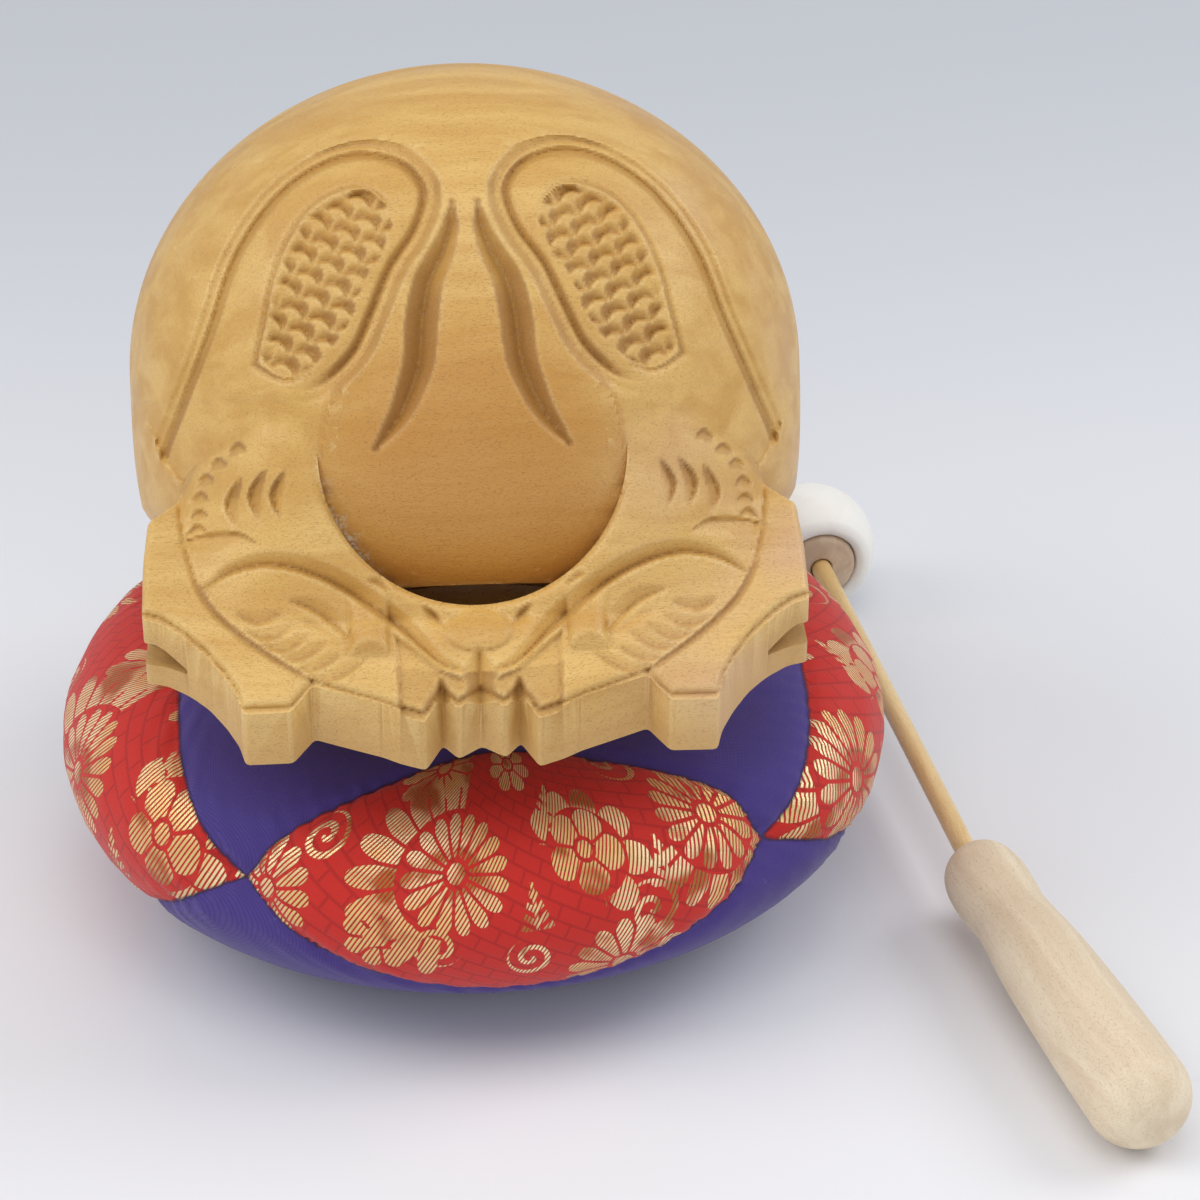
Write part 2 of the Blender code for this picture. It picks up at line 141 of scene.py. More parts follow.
def cut(target: Obj, tool: Obj, operation: str = "DIFFERENCE") -> None:
    """Runs one exact Boolean, and deletes the tool.

    Args:
        target: The object that is cut or added to.
        tool: The closed solid to cut or add with.
        operation: DIFFERENCE or UNION.
    """
    step = target.modifiers.new(tool.name, "BOOLEAN")
    step.operation = operation
    step.solver = "EXACT"
    step.object = tool
    apply_modifiers(target)
    bpy.data.objects.remove(tool, do_unlink=True)


def outline_solid(name: str, outline: Path, low: float, high: float,
                  place: Callable[[float, float, float], Triple]) -> Obj:
    """A closed prism: a filled circle moved onto an outline and extruded.

    Args:
        name: The object's name.
        outline: Corners as pairs in millimetres.
        low: The level of the start.
        high: The level of the end.
        place: Turns a pair and a level into x, y and z in millimetres.

    Returns:
        The prism.
    """
    deselect()
    bpy.ops.mesh.primitive_circle_add(vertices=len(outline), radius=0.01, fill_type="NGON")
    obj = named(name)
    move_to(obj, np.array([place(a, b, low) for a, b in outline]) * MM)
    travel = (np.array(place(0.0, 0.0, high)) - np.array(place(0.0, 0.0, low))) * MM
    with editing(obj):
        bpy.ops.mesh.select_all(action="SELECT")
        bpy.ops.mesh.extrude_region_move(TRANSFORM_OT_translate={"value": tuple(travel)})
    face_outwards(obj)
    return obj


def turned(name: str, profile: Path, segments: int) -> Obj:
    """A turned piece about +X: a line of edges spun round the axis.

    Args:
        name: The object's name.
        profile: Pairs of distance along the axis and radius, in millimetres, from axis to axis.
        segments: Steps of the spin.

    Returns:
        The closed piece.
    """
    deselect()
    bpy.ops.mesh.primitive_circle_add(vertices=len(profile), radius=0.01, fill_type="NOTHING")
    obj = named(name)
    move_to(obj, np.array([(x, 0.0, r) for x, r in profile]) * MM)
    last = len(profile) - 1
    with editing(obj):
        bpy.ops.mesh.select_all(action="DESELECT")
        bm = bmesh.from_edit_mesh(obj.data)
        bm.edges.ensure_lookup_table()
        for edge in bm.edges:
            edge.select_set({v.index for v in edge.verts} == {0, last})
        bmesh.update_edit_mesh(obj.data)
        bpy.ops.mesh.delete(type="EDGE")
        bpy.ops.mesh.select_all(action="SELECT")
        bpy.ops.mesh.spin(steps=segments, angle=2 * math.pi, center=(0, 0, 0), axis=(1, 0, 0))
    face_outwards(obj, merge=0.00002)
    return obj


def smoothed(points: Path, steps: int = 6) -> list:
    """A smooth line through a list of points.

    Args:
        points: The points to pass through.
        steps: How many pieces each stretch is cut into.

    Returns:
        The denser list of pairs.
    """
    p = [points[0], *points, points[-1]]
    line = []
    for a, b, c, d in zip(p[:-3], p[1:-2], p[2:-1], p[3:]):
        for i in range(steps):
            t = i / steps
            line.append(tuple(0.5 * (2 * b[k] + (c[k] - a[k]) * t + (2 * a[k] - 5 * b[k] + 4 * c[k] - d[k]) * t ** 2
                                     + (3 * b[k] - a[k] - 3 * c[k] + d[k]) * t ** 3) for k in (0, 1)))
    return line + [tuple(points[-1])]


def eased(outline: Path, most: float) -> list:
    """A closed outline with its corners worn round.

    Args:
        outline: The corners.
        most: How far from a corner its rounding may start.

    Returns:
        The outline with three points for each corner.
    """
    count, worn = len(outline), []
    for i in range(count):
        before, here, after = (np.array(outline[k % count], float) for k in (i - 1, i, i + 1))
        ends = []
        for other in (before, after):
            gap = np.linalg.norm(other - here)
            ends.append(here + (other - here) * min(most, 0.3 * gap) / gap)
        worn += [tuple(ends[0]), tuple(0.25 * ends[0] + 0.5 * here + 0.25 * ends[1]), tuple(ends[1])]
    return worn


def unit(x: Array) -> Array:
    """A number held between 0 and 1."""
    return np.clip(x, 0.0, 1.0)


def soft_step(x: Array) -> Array:
    """0 below 0, 1 above 1, with a smooth change between."""
    t = unit(x)
    return t * t * (3 - 2 * t)


def round_over(distance: Array, radius: float) -> Array:
    """How far a rounded edge has dropped at a distance from it."""
    near = radius - np.clip(distance, 0.0, radius)
    return radius - np.sqrt(np.maximum(0.0, radius ** 2 - near ** 2))


def along(u: Array, v: Array, path: Path) -> Tuple[Array, Array, Array]:
    """Where points lie beside a path.

    Args:
        u: The points' first coordinate.
        v: Their second coordinate.
        path: The path's corners.

    Returns:
        The distance, the share of the path's length at the nearest place, and the side, 1 for left and -1 for right.
    """
    line = np.array(path, float)
    lengths = np.hypot(*(line[1:] - line[:-1]).T)
    run, total = 0.0, lengths.sum()
    near, share, side = np.full(np.shape(u), 1e9), np.zeros(np.shape(u)), np.ones(np.shape(u))
    for start, end, length in zip(line[:-1], line[1:], lengths):
        if length < 1e-9:
            continue
        du, dv = (end - start) / length
        t = np.clip((u - start[0]) * du + (v - start[1]) * dv, 0.0, length)
        gap = np.hypot(u - start[0] - t * du, v - start[1] - t * dv)
        closer = gap < near - 1e-9
        near = np.where(closer, gap, near)
        share = np.where(closer, (run + t) / total, share)
        left = np.sign(du * (v - start[1]) - dv * (u - start[0]))
        side = np.where(closer, np.where(left == 0, 1.0, left), side)
        run += length
    return near, share, side


def inside(u: Array, v: Array, outline: Path) -> Array:
    """Signed distance to a closed outline, positive inside it."""
    ring = list(outline) + [outline[0]]
    near = along(u, v, ring)[0]
    crossings = np.zeros(np.shape(u), int)
    for (u0, v0), (u1, v1) in zip(ring[:-1], ring[1:]):
        if v0 != v1:
            crossings += ((v0 > v) != (v1 > v)) & (u < u0 + (v - v0) * (u1 - u0) / (v1 - v0))
    return np.where(crossings % 2 == 1, near, -near)


def write_mask(obj: Obj, name: str, values: Array) -> None:
    """Keeps one number for every vertex, for the materials to read."""
    layer = obj.data.attributes.new(name, "FLOAT", "POINT")
    layer.data.foreach_set("value", np.ascontiguousarray(values, np.float32))


def bend_of(obj: Obj) -> Array:
    """How strongly the surface bends at each vertex, per millimetre: positive on ridges, negative in hollows."""
    points, facing = places(obj) / MM, normals(obj)
    ends = np.empty(len(obj.data.edges) * 2, np.int32)
    obj.data.edges.foreach_get("vertices", ends)
    a, b = ends.reshape(-1, 2).T
    gap = points[b] - points[a]
    turn = np.einsum("ij,ij->i", facing[b] - facing[a], gap) / np.maximum(1e-6, np.einsum("ij,ij->i", gap, gap))
    total, count = np.zeros(len(points)), np.zeros(len(points))
    for end in (a, b):
        np.add.at(total, end, turn)
        np.add.at(count, end, 1.0)
    return total / np.maximum(1.0, count)


def dress(obj: Obj, look: Look, angle: float = 180.0) -> None:
    """Gives a piece its material, and shades it smooth but for its edges.

    Args:
        obj: The piece.
        look: Its material.
        angle: Edges that bend by more than this, in degrees, stay sharp.
    """
    obj.data.materials.clear()
    obj.data.materials.append(look)
    activate(obj)
    if angle < 180.0:
        bpy.ops.object.shade_smooth_by_angle(angle=math.radians(angle))
    else:
        bpy.ops.object.shade_smooth()


def slopes(height: Callable[[Array, Array], Array], u: Array, v: Array) -> Tuple[Array, Array]:
    """How steeply a height rises across and up the face, taken over half a millimetre."""
    return ((height(u + 0.25, v) - height(u - 0.25, v)) / 0.5, (height(u, v + 0.25) - height(u, v - 0.25)) / 0.5)


# ------------------------------------------------------------------ node graphs

class Graph:
    """A short way to write down the nodes of a material or a node group."""

    def __init__(self, tree: Tree) -> None:
        """Keeps the tree that the nodes go into."""
        self.tree = tree

    def node(self, kind: str, **settings: object) -> bpy.types.Node:
        """Adds a node of a kind, with its settings."""
        made = self.tree.nodes.new(kind)
        for key, value in settings.items():
            setattr(made, key, value)
        return made

    def feed(self, socket: Socket, value: Feed) -> None:
        """Links a socket to a socket, or gives it a value."""
        if isinstance(value, Socket):
            self.tree.links.new(value, socket)
        elif value is not None:
            socket.default_value = value

    def math(self, operation: str, a: Feed, b: Feed = None, c: Feed = None) -> Socket:
        """One sum on numbers."""
        made = self.node("ShaderNodeMath", operation=operation)
        for socket, value in zip(made.inputs, (a, b, c)):
            self.feed(socket, value)
        return made.outputs[0]

    def add(self, a: Feed, b: Feed) -> Socket:
        """a + b."""
        return self.math("ADD", a, b)

    def sub(self, a: Feed, b: Feed) -> Socket:
        """a - b."""
        return self.math("SUBTRACT", a, b)

    def mul(self, a: Feed, b: Feed) -> Socket:
        """a x b."""
        return self.math("MULTIPLY", a, b)

    def div(self, a: Feed, b: Feed) -> Socket:
        """a / b."""
        return self.math("DIVIDE", a, b)

    def mul_add(self, a: Feed, b: Feed, c: Feed) -> Socket:
        """a x b + c."""
        return self.math("MULTIPLY_ADD", a, b, c)

    def least(self, a: Feed, b: Feed) -> Socket:
        """The lesser of two."""
        return self.math("MINIMUM", a, b)

    def vector(self, operation: str, a: Feed, b: Feed = None, output: int = 0) -> Socket:
        """One sum on vectors; output 1 is the number that a length or a dot product gives."""
        made = self.node("ShaderNodeVectorMath", operation=operation)
        self.feed(made.inputs[0], a)
        self.feed(made.inputs["Scale"] if operation == "SCALE" else made.inputs[1], b)
        return made.outputs[output]

    def split(self, vector: Socket) -> Tuple[Socket, Socket, Socket]:
        """The three numbers of a vector."""
        made = self.node("ShaderNodeSeparateXYZ")
        self.feed(made.inputs[0], vector)
        return made.outputs[0], made.outputs[1], made.outputs[2]

    def join(self, x: Feed = 0.0, y: Feed = 0.0, z: Feed = 0.0) -> Socket:
        """A vector of three numbers."""
        made = self.node("ShaderNodeCombineXYZ")
        for socket, value in zip(made.inputs, (x, y, z)):
            self.feed(socket, value)
        return made.outputs[0]

    def ramp(self, value: Feed, low: float, high: float, start: float = 0.0, end: float = 1.0) -> Socket:
        """A number moved from one range to another, smoothly and clamped."""
        made = self.node("ShaderNodeMapRange", interpolation_type="SMOOTHSTEP")
        for socket, number in zip(made.inputs, (value, low, high, start, end)):
            self.feed(socket, number)
        return made.outputs[0]

    def mix(self, share: Feed, a: Feed, b: Feed) -> Socket:
        """Two colours mixed."""
        made = self.node("ShaderNodeMix", data_type="RGBA")
        self.feed(made.inputs[0], share)
        for socket, value in zip(made.inputs[6:8], (a, b)):
            self.feed(socket, (*value, 1.0) if isinstance(value, tuple) and len(value) == 3 else value)
        return made.outputs[2]

    def noise(self, vector: Feed, scale: float, detail: float = 2.0, rough: float = 0.5,
              distortion: float = 0.0) -> Socket:
        """Soft noise."""
        made = self.node("ShaderNodeTexNoise")
        for name, value in (("Vector", vector), ("Scale", scale), ("Detail", detail), ("Roughness", rough),
                            ("Distortion", distortion)):
            self.feed(made.inputs[name], value)
        return made.outputs[0]

    def group(self, tree: Tree, **values: Feed) -> bpy.types.Node:
        """Places a node group; a name's underscores stand for spaces."""
        made = self.node("ShaderNodeGroup", node_tree=tree)
        for name, value in values.items():
            self.feed(made.inputs[name.replace("_", " ")], value)
        return made

    def drive(self, shader: bpy.types.Node, **values: Feed) -> None:
        """Feeds a shader's inputs; a name's underscores stand for spaces."""
        for name, value in values.items():
            self.feed(shader.inputs[name.replace("_", " ")], value)

    def mask(self, name: str) -> Socket:
        """A mask that is kept on the mesh."""
        return self.node("ShaderNodeAttribute", attribute_name=name).outputs["Fac"]

    def bump(self, height: Feed, depth: float, strength: float = 1.0) -> Socket:
        """A normal made from a height, with its depth in metres."""
        made = self.node("ShaderNodeBump")
        for name, value in (("Height", height), ("Distance", depth), ("Strength", strength)):
            self.feed(made.inputs[name], value)
        return made.outputs[0]


class Group:
    """A node group under construction: named inputs, named outputs, and the graph inside."""

    def __init__(self, name: str, vectors: Sequence[str], numbers: Dict[str, float],
                 outputs: Sequence[str]) -> None:
        """Makes the group's sockets.

        Args:
            name: The group's name.
            vectors: The names of the vectors that go in.
            numbers: The names and defaults of the numbers that go in.
            outputs: The names of the numbers that the group puts out.
        """
        self.tree = bpy.data.node_groups.new(name, "ShaderNodeTree")
        for label in vectors:
            self.tree.interface.new_socket(label, in_out="INPUT", socket_type="NodeSocketVector")
        for label, default in numbers.items():
            socket = self.tree.interface.new_socket(label, in_out="INPUT", socket_type="NodeSocketFloat")
            socket.default_value = default
        for label in outputs:
            self.tree.interface.new_socket(label, in_out="OUTPUT", socket_type="NodeSocketFloat")
        self.graph = Graph(self.tree)
        self.into = self.graph.node("NodeGroupInput").outputs
        self.out = self.graph.node("NodeGroupOutput").inputs

    def __getitem__(self, label: str) -> Socket:
        """What comes in under a name."""
        return self.into[label]

    def from_centre(self) -> Socket:
        """The way from a figure's centre to the point."""
        return self.graph.vector("SUBTRACT", self["Vector"], self["Centre"])

    def give(self, label: str, value: Socket) -> None:
        """Connects a result to an output."""
        self.graph.feed(self.out[label], value)


def in_mm(g: Graph) -> Socket:
    """The piece's own coordinates, in millimetres."""
    return g.vector("SCALE", g.node("ShaderNodeTexCoord").outputs["Object"], 1 / MM)


def wood_grain_group() -> Tree:
    """Straight-grained wood: broad figure, fine fibres that run along X, and pores."""
    group = Group("wood_grain", ("Vector",), {"Figure": 1.0, "Wander": 1.0}, ("Figure", "Fibre", "Pores"))
    g = group.graph
    place, figure = group["Vector"], group["Figure"]
    drift = g.mul(g.sub(g.noise(place, 0.02, 2.0), 0.5), group["Wander"])
    x, y, z = g.split(place)
    bent = g.join(g.mul(x, 0.06), g.mul_add(drift, 14.0, y),
                  g.mul_add(drift, 9.0, z))
    broad = g.noise(g.vector("SCALE", bent, figure), 0.14, 3.0, 0.55, 0.4)
    group.give("Figure", g.ramp(broad, 0.32, 0.68))
    fibre = g.noise(g.vector("MULTIPLY", bent, (1.4, 1.0, 1.0)), 2.6, 3.0, 0.6)
    group.give("Fibre", fibre)
    pores = g.noise(g.vector("MULTIPLY", bent, (5.0, 1.0, 1.0)), 5.5, 1.0, 0.5)
    group.give("Pores", g.ramp(pores, 0.58, 0.72))
    return group.tree


def twill_group() -> Tree:
    """A fine twill: slanting ribs, each broken into threads."""
    group = Group("twill", ("Vector",), {"Pitch": 0.5, "Slant": 1.0}, ("Rib", "Thread"))
    g = group.graph
    x, y, _ = g.split(group["Vector"])
    pitch = group["Pitch"]
    across = g.div(g.mul_add(y, group["Slant"], x), pitch)
    rib = g.math("PINGPONG", across, 0.5)
    thread = g.math("PINGPONG", g.div(g.sub(y, g.mul(x, 0.3)), pitch), 0.5)
    group.give("Rib", g.mul(rib, 2.0))
    group.give("Thread", g.mul(thread, 2.0))
    return group.tree


def rosette_group() -> Tree:
    """A flower of rounded petals round a disc."""
    group = Group("rosette", ("Vector", "Centre"), {"Radius": 10.0, "Petals": 14.0, "Turn": 0.0, "Heart": 0.3,
                                                    "Side": 0.0, "Spread": -2.0}, ("Mask",))
    g = group.graph
    away = group.from_centre()
    x, y, _ = g.split(away)
    reach = g.vector("LENGTH", away, output=1)
    share = g.div(reach, group["Radius"])
    bearing = g.div(g.math("ARCTAN2", y, x), 2 * math.pi)
    petal = g.math("FRACT", g.mul_add(bearing, group["Petals"],
                                   g.add(group["Turn"], 40.0)))
    off = g.math("ABSOLUTE", g.sub(petal, 0.5))
    tip = g.sub(1.0, g.mul(g.math("POWER", g.mul(off, 2.0), 2.6), 0.34))
    outer = g.mul(g.sub(tip, share), group["Radius"])
    inner = g.mul(g.sub(share, group["Heart"]), group["Radius"])
    width = g.div(g.mul(reach, 2 * math.pi), group["Petals"])
    side = g.mul_add(g.sub(0.5, off), width, -0.32)
    leaf = g.least(g.least(outer, inner), side)
    facing = g.math("COSINE", g.sub(g.mul(bearing, 2 * math.pi), group["Side"]))
    leaf = g.least(leaf, g.mul(g.sub(facing, group["Spread"]), 6.0))
    disc = g.mul(g.sub(g.mul(group["Heart"], 0.68), share),
                  g.mul(group["Radius"], g.math("LESS_THAN", group["Heart"], 0.5)))
    disc = g.sub(disc, g.mul(g.math("GREATER_THAN", group["Heart"], 0.5), 9.0))
    group.give("Mask", g.ramp(g.math("MAXIMUM", leaf, disc), -0.08, 0.12))
    return group.tree


def tendril_group() -> Tree:
    """A vine's curl: one spiral line that thins out."""
    group = Group("tendril", ("Vector", "Centre"), {"Radius": 6.0, "Turn": 0.0, "Hand": 1.0}, ("Mask",))
    g = group.graph
    away = group.from_centre()
    x, y, _ = g.split(away)
    reach = g.vector("LENGTH", away, output=1)
    bearing = g.div(g.math("ARCTAN2", g.mul(y, group["Hand"]), x), 2 * math.pi)
    pitch = g.mul(group["Radius"], 0.62)
    phase = g.math("FRACT", g.add(g.sub(g.div(reach, pitch), bearing),
                                   g.add(group["Turn"], 40.0)))
    line = g.mul(g.math("ABSOLUTE", g.sub(phase, 0.5)), pitch)
    stroke = g.sub(0.62, line)
    edge = g.sub(group["Radius"], reach)
    group.give("Mask", g.ramp(g.least(stroke, edge), -0.1, 0.15))
    return group.tree


def sprig_group() -> Tree:
    """A fern sprig: small leaves slanting up from a stem."""
    group = Group("sprig", ("Vector", "Centre"), {"Length": 12.0, "Bearing": 0.0}, ("Mask",))
    g = group.graph
    away = group.from_centre()
    turn = g.node("ShaderNodeVectorRotate", rotation_type="Z_AXIS")
    g.feed(turn.inputs["Vector"], away)
    g.feed(turn.inputs["Angle"], group["Bearing"])
    x, y, _ = g.split(turn.outputs[0])
    off = g.math("ABSOLUTE", x)
    level = g.div(y, group["Length"])
    spread = g.mul(g.sub(1.05, level), 3.6)
    phase = g.math("FRACT", g.add(g.div(g.mul_add(off, -0.75, y), 2.7), 40.0))
    leaf = g.mul(g.sub(0.29, g.math("ABSOLUTE", g.sub(phase, 0.5))), 2.7)
    leaf = g.least(leaf, g.sub(spread, off))
    shape = g.math("MAXIMUM", leaf, g.sub(0.4, off))
    ends = g.least(y, g.sub(group["Length"], y))
    group.give("Mask", g.ramp(g.least(shape, ends), -0.08, 0.14))
    return group.tree


# ------------------------------------------------------------------ finishes

def material(name: str, roughness: float, **even: Feed) -> Tuple[Look, Graph, bpy.types.Node]:
    """A new material.

    Args:
        name: The material's name.
        roughness: The shader's roughness where nothing else drives it.
        even: Further values that are the same all over; underscores stand for spaces.

    Returns:
        The material, its graph and its shader.
    """
    made = bpy.data.materials.new(name)
    made.use_nodes = True
    shader = made.node_tree.nodes["Principled BSDF"]
    shader.inputs["Roughness"].default_value = roughness
    for label, value in even.items():
        shader.inputs[label.replace("_", " ")].default_value = value
    return made, Graph(made.node_tree), shader


@dataclass(frozen=True)
class CarvedWood:
    """Waxed pale wood: darker in its cuts, partly end grain and partly painted shade, with painted shade in its
    creases, on its front walls and on the floor of the hand hole, and painted highlight on its crests and its right
    side.
    """

    light: Colour = (0.735, 0.470, 0.145)
    deep: Colour = (0.600, 0.330, 0.075)
    # End grain and painted shade: the brown of the cut walls and creases; it also darkens the pores.
    end_grain_and_shade: Colour = (0.310, 0.135, 0.032)
    # Painted shade: the darker orange-brown of the floor inside the hand hole.
    hole_shade: Colour = (0.520, 0.215, 0.026)
    # Painted highlight: a pinkish sheen on the right side of the fish.
    right_side_highlight: Colour = (0.640, 0.400, 0.235)
    # Painted highlight on crests and rounded edges.
    ridge_highlight: Colour = (0.860, 0.640, 0.290)
    dust: Colour = (0.800, 0.730, 0.600)
    # Painted shade on the slab's front walls, which face down, away from the light.
    front_wall_shade: Colour = (0.560, 0.330, 0.110)

    def build(self, grain: Tree) -> Look:
        """Makes the material.

        Args:
            grain: The wood grain node group.

        Returns:
            The finished material.
        """
        made, g, shader = material("carved_wood", 0.4, Coat_Roughness=0.32, IOR=1.48)
        place = in_mm(g)
        wood = g.group(grain, Vector=place, Figure=1.0, Wander=1.0).outputs
        colour = g.mix(wood["Figure"], self.light, self.deep)
        fibre = g.ramp(wood["Fibre"], 0.3, 0.7)
        colour = g.mix(g.mul(fibre, 0.42), colour, self.deep)
        # Painted highlight: a patchy pinkish sheen on the right side, where light falls.
        cloud = g.ramp(g.noise(place, 0.03, 2.0), 0.42, 0.66)
        side = g.ramp(g.split(place)[0], 8.0, 62.0)
        colour = g.mix(g.mul(g.mul(cloud, side), 0.75), colour, self.right_side_highlight)
        # Painted shade on the hole floor, the front walls, the cut walls, the cuts and the hollows, and painted
        # highlight on the crests.
        for mask, share, tint in (("hole_floor_shade", 0.72, self.hole_shade), ("recess", 0.45, self.deep),
                                  ("front_wall_shade", 0.75, self.front_wall_shade), ("wall", 0.66, self.end_grain_and_shade),
                                  ("hollow", 0.6, self.end_grain_and_shade), ("ridge_highlight", 0.4, self.ridge_highlight)):
            colour = g.mix(g.mul(g.mask(mask), share), colour, tint)
        speckled = g.ramp(g.noise(place, 1.4, 3.0, 0.6), 0.42, 0.6)
        colour = g.mix(g.mul(g.mask("dust"), speckled), colour, self.dust)
        dark = g.mul(wood["Pores"], 0.34)
        colour = g.mix(dark, colour, self.end_grain_and_shade)
        polish = g.ramp(g.noise(place, 0.12, 3.0), 0.35, 0.7, 0.36, 0.5)
        wax = g.ramp(g.mask("recess"), 0.0, 0.8, 0.16, 0.02)
        dents = g.noise(g.vector("MULTIPLY", place, (0.5, 1.0, 1.0)), 0.9, 2.0)
        relief = g.mul_add(dents, 0.55, g.mul(wood["Fibre"], 0.6))
        relief = g.mul_add(wood["Pores"], -0.35, relief)
        g.drive(shader, Base_Color=colour, Roughness=g.mul_add(g.mask("wall"), 0.14, polish), Coat_Weight=wax,
                Normal=g.bump(relief, 0.00016, 0.9))
        return made


@dataclass(frozen=True)
class TurnedWood:
    """Plain turned wood, with its grain along the piece."""

    name: str
    light: Colour
    deep: Colour
    roughness: float
    coat: float
    figure: float = 1.6
    wander: float = 1.0
    depth: float = 0.00008

    def build(self, grain: Tree, turn: float) -> Look:
        """Makes the material.

        Args:
            grain: The wood grain node group.
            turn: The bearing of the piece's length from +X, in radians.

        Returns:
            The finished material.
        """
        made, g, shader = material(self.name, self.roughness, Coat_Weight=self.coat, Coat_Roughness=0.25)
        line = g.node("ShaderNodeMapping", vector_type="TEXTURE")
        g.feed(line.inputs["Vector"], in_mm(g))
        line.inputs["Rotation"].default_value = (0.0, 0.0, turn)
        wood = g.group(grain, Vector=line.outputs[0], Figure=self.figure, Wander=self.wander).outputs
        colour = g.mix(wood["Figure"], self.light, self.deep)
        colour = g.mix(g.mul(g.ramp(wood["Fibre"], 0.35, 0.7), 0.35), colour, self.deep)
        colour = g.mix(g.mul(wood["Pores"], 0.3), colour, tuple(0.45 * c for c in self.deep))
        dull = g.ramp(wood["Fibre"], 0.3, 0.7, self.roughness - 0.05, self.roughness + 0.08)
        relief = g.mul_add(wood["Pores"], -0.6, wood["Fibre"])
        g.drive(shader, Base_Color=colour, Roughness=dull, Normal=g.bump(relief, self.depth))
        return made


@dataclass(frozen=True)
class SoftCap:
    """The matt off-white cap of the striker's head."""

    colour: Colour = (0.88, 0.86, 0.81)
    grey: Colour = (0.76, 0.74, 0.69)

    def build(self) -> Look:
        """Makes the material."""
        made, g, shader = material("head_cap", 0.62, Subsurface_Weight=0.12, Subsurface_Scale=0.003)
        place = in_mm(g)
        scuff = g.ramp(g.noise(place, 0.16, 4.0), 0.45, 0.75)
        g.drive(shader, Base_Color=g.mix(g.mul(scuff, 0.3), self.colour, self.grey),
                Roughness=g.ramp(scuff, 0.0, 1.0, 0.56, 0.7), Normal=g.bump(g.noise(place, 2.2, 3.0), 0.00006))
        return made


class Motif(Enum):
    """The figures that are woven in gold."""

    FLOWER = "rosette"
    TENDRIL = "tendril"
    SPRIG = "sprig"


@dataclass(frozen=True)
class Figure:
    """One woven figure: its kind, its centre on the cloth in millimetres, and its own numbers."""

    kind: Motif
    centre: Pair
    values: Tuple[Tuple[str, float], ...]


def flower(u: float, v: float, radius: float, petals: int, heart: float = 0.3, turn: float = 0.0) -> Figure:
    """A flower at a place on the cloth."""
    return Figure(Motif.FLOWER, (u, v), (("Radius", radius), ("Petals", petals), ("Heart", heart), ("Turn", turn)))


def outer_petals(u: float, v: float, radius: float, petals: int, heart: float, side: float,
                 spread: float) -> Figure:
    """A second row of petals on one side of a flower; the side is a bearing in degrees."""
    return Figure(Motif.FLOWER, (u, v), (("Radius", radius), ("Petals", petals), ("Heart", heart),
                                         ("Side", math.radians(side)), ("Spread", spread)))


def tendril(u: float, v: float, radius: float, turn: float = 0.0, hand: float = 1.0) -> Figure:
    """A vine's curl at a place on the cloth."""
    return Figure(Motif.TENDRIL, (u, v), (("Radius", radius), ("Turn", turn), ("Hand", hand)))


def sprig(u: float, v: float, length: float, bearing: float) -> Figure:
    """A fern sprig that starts at a place on the cloth; the bearing turns it, in degrees."""
    return Figure(Motif.SPRIG, (u, v), (("Length", length), ("Bearing", math.radians(bearing))))


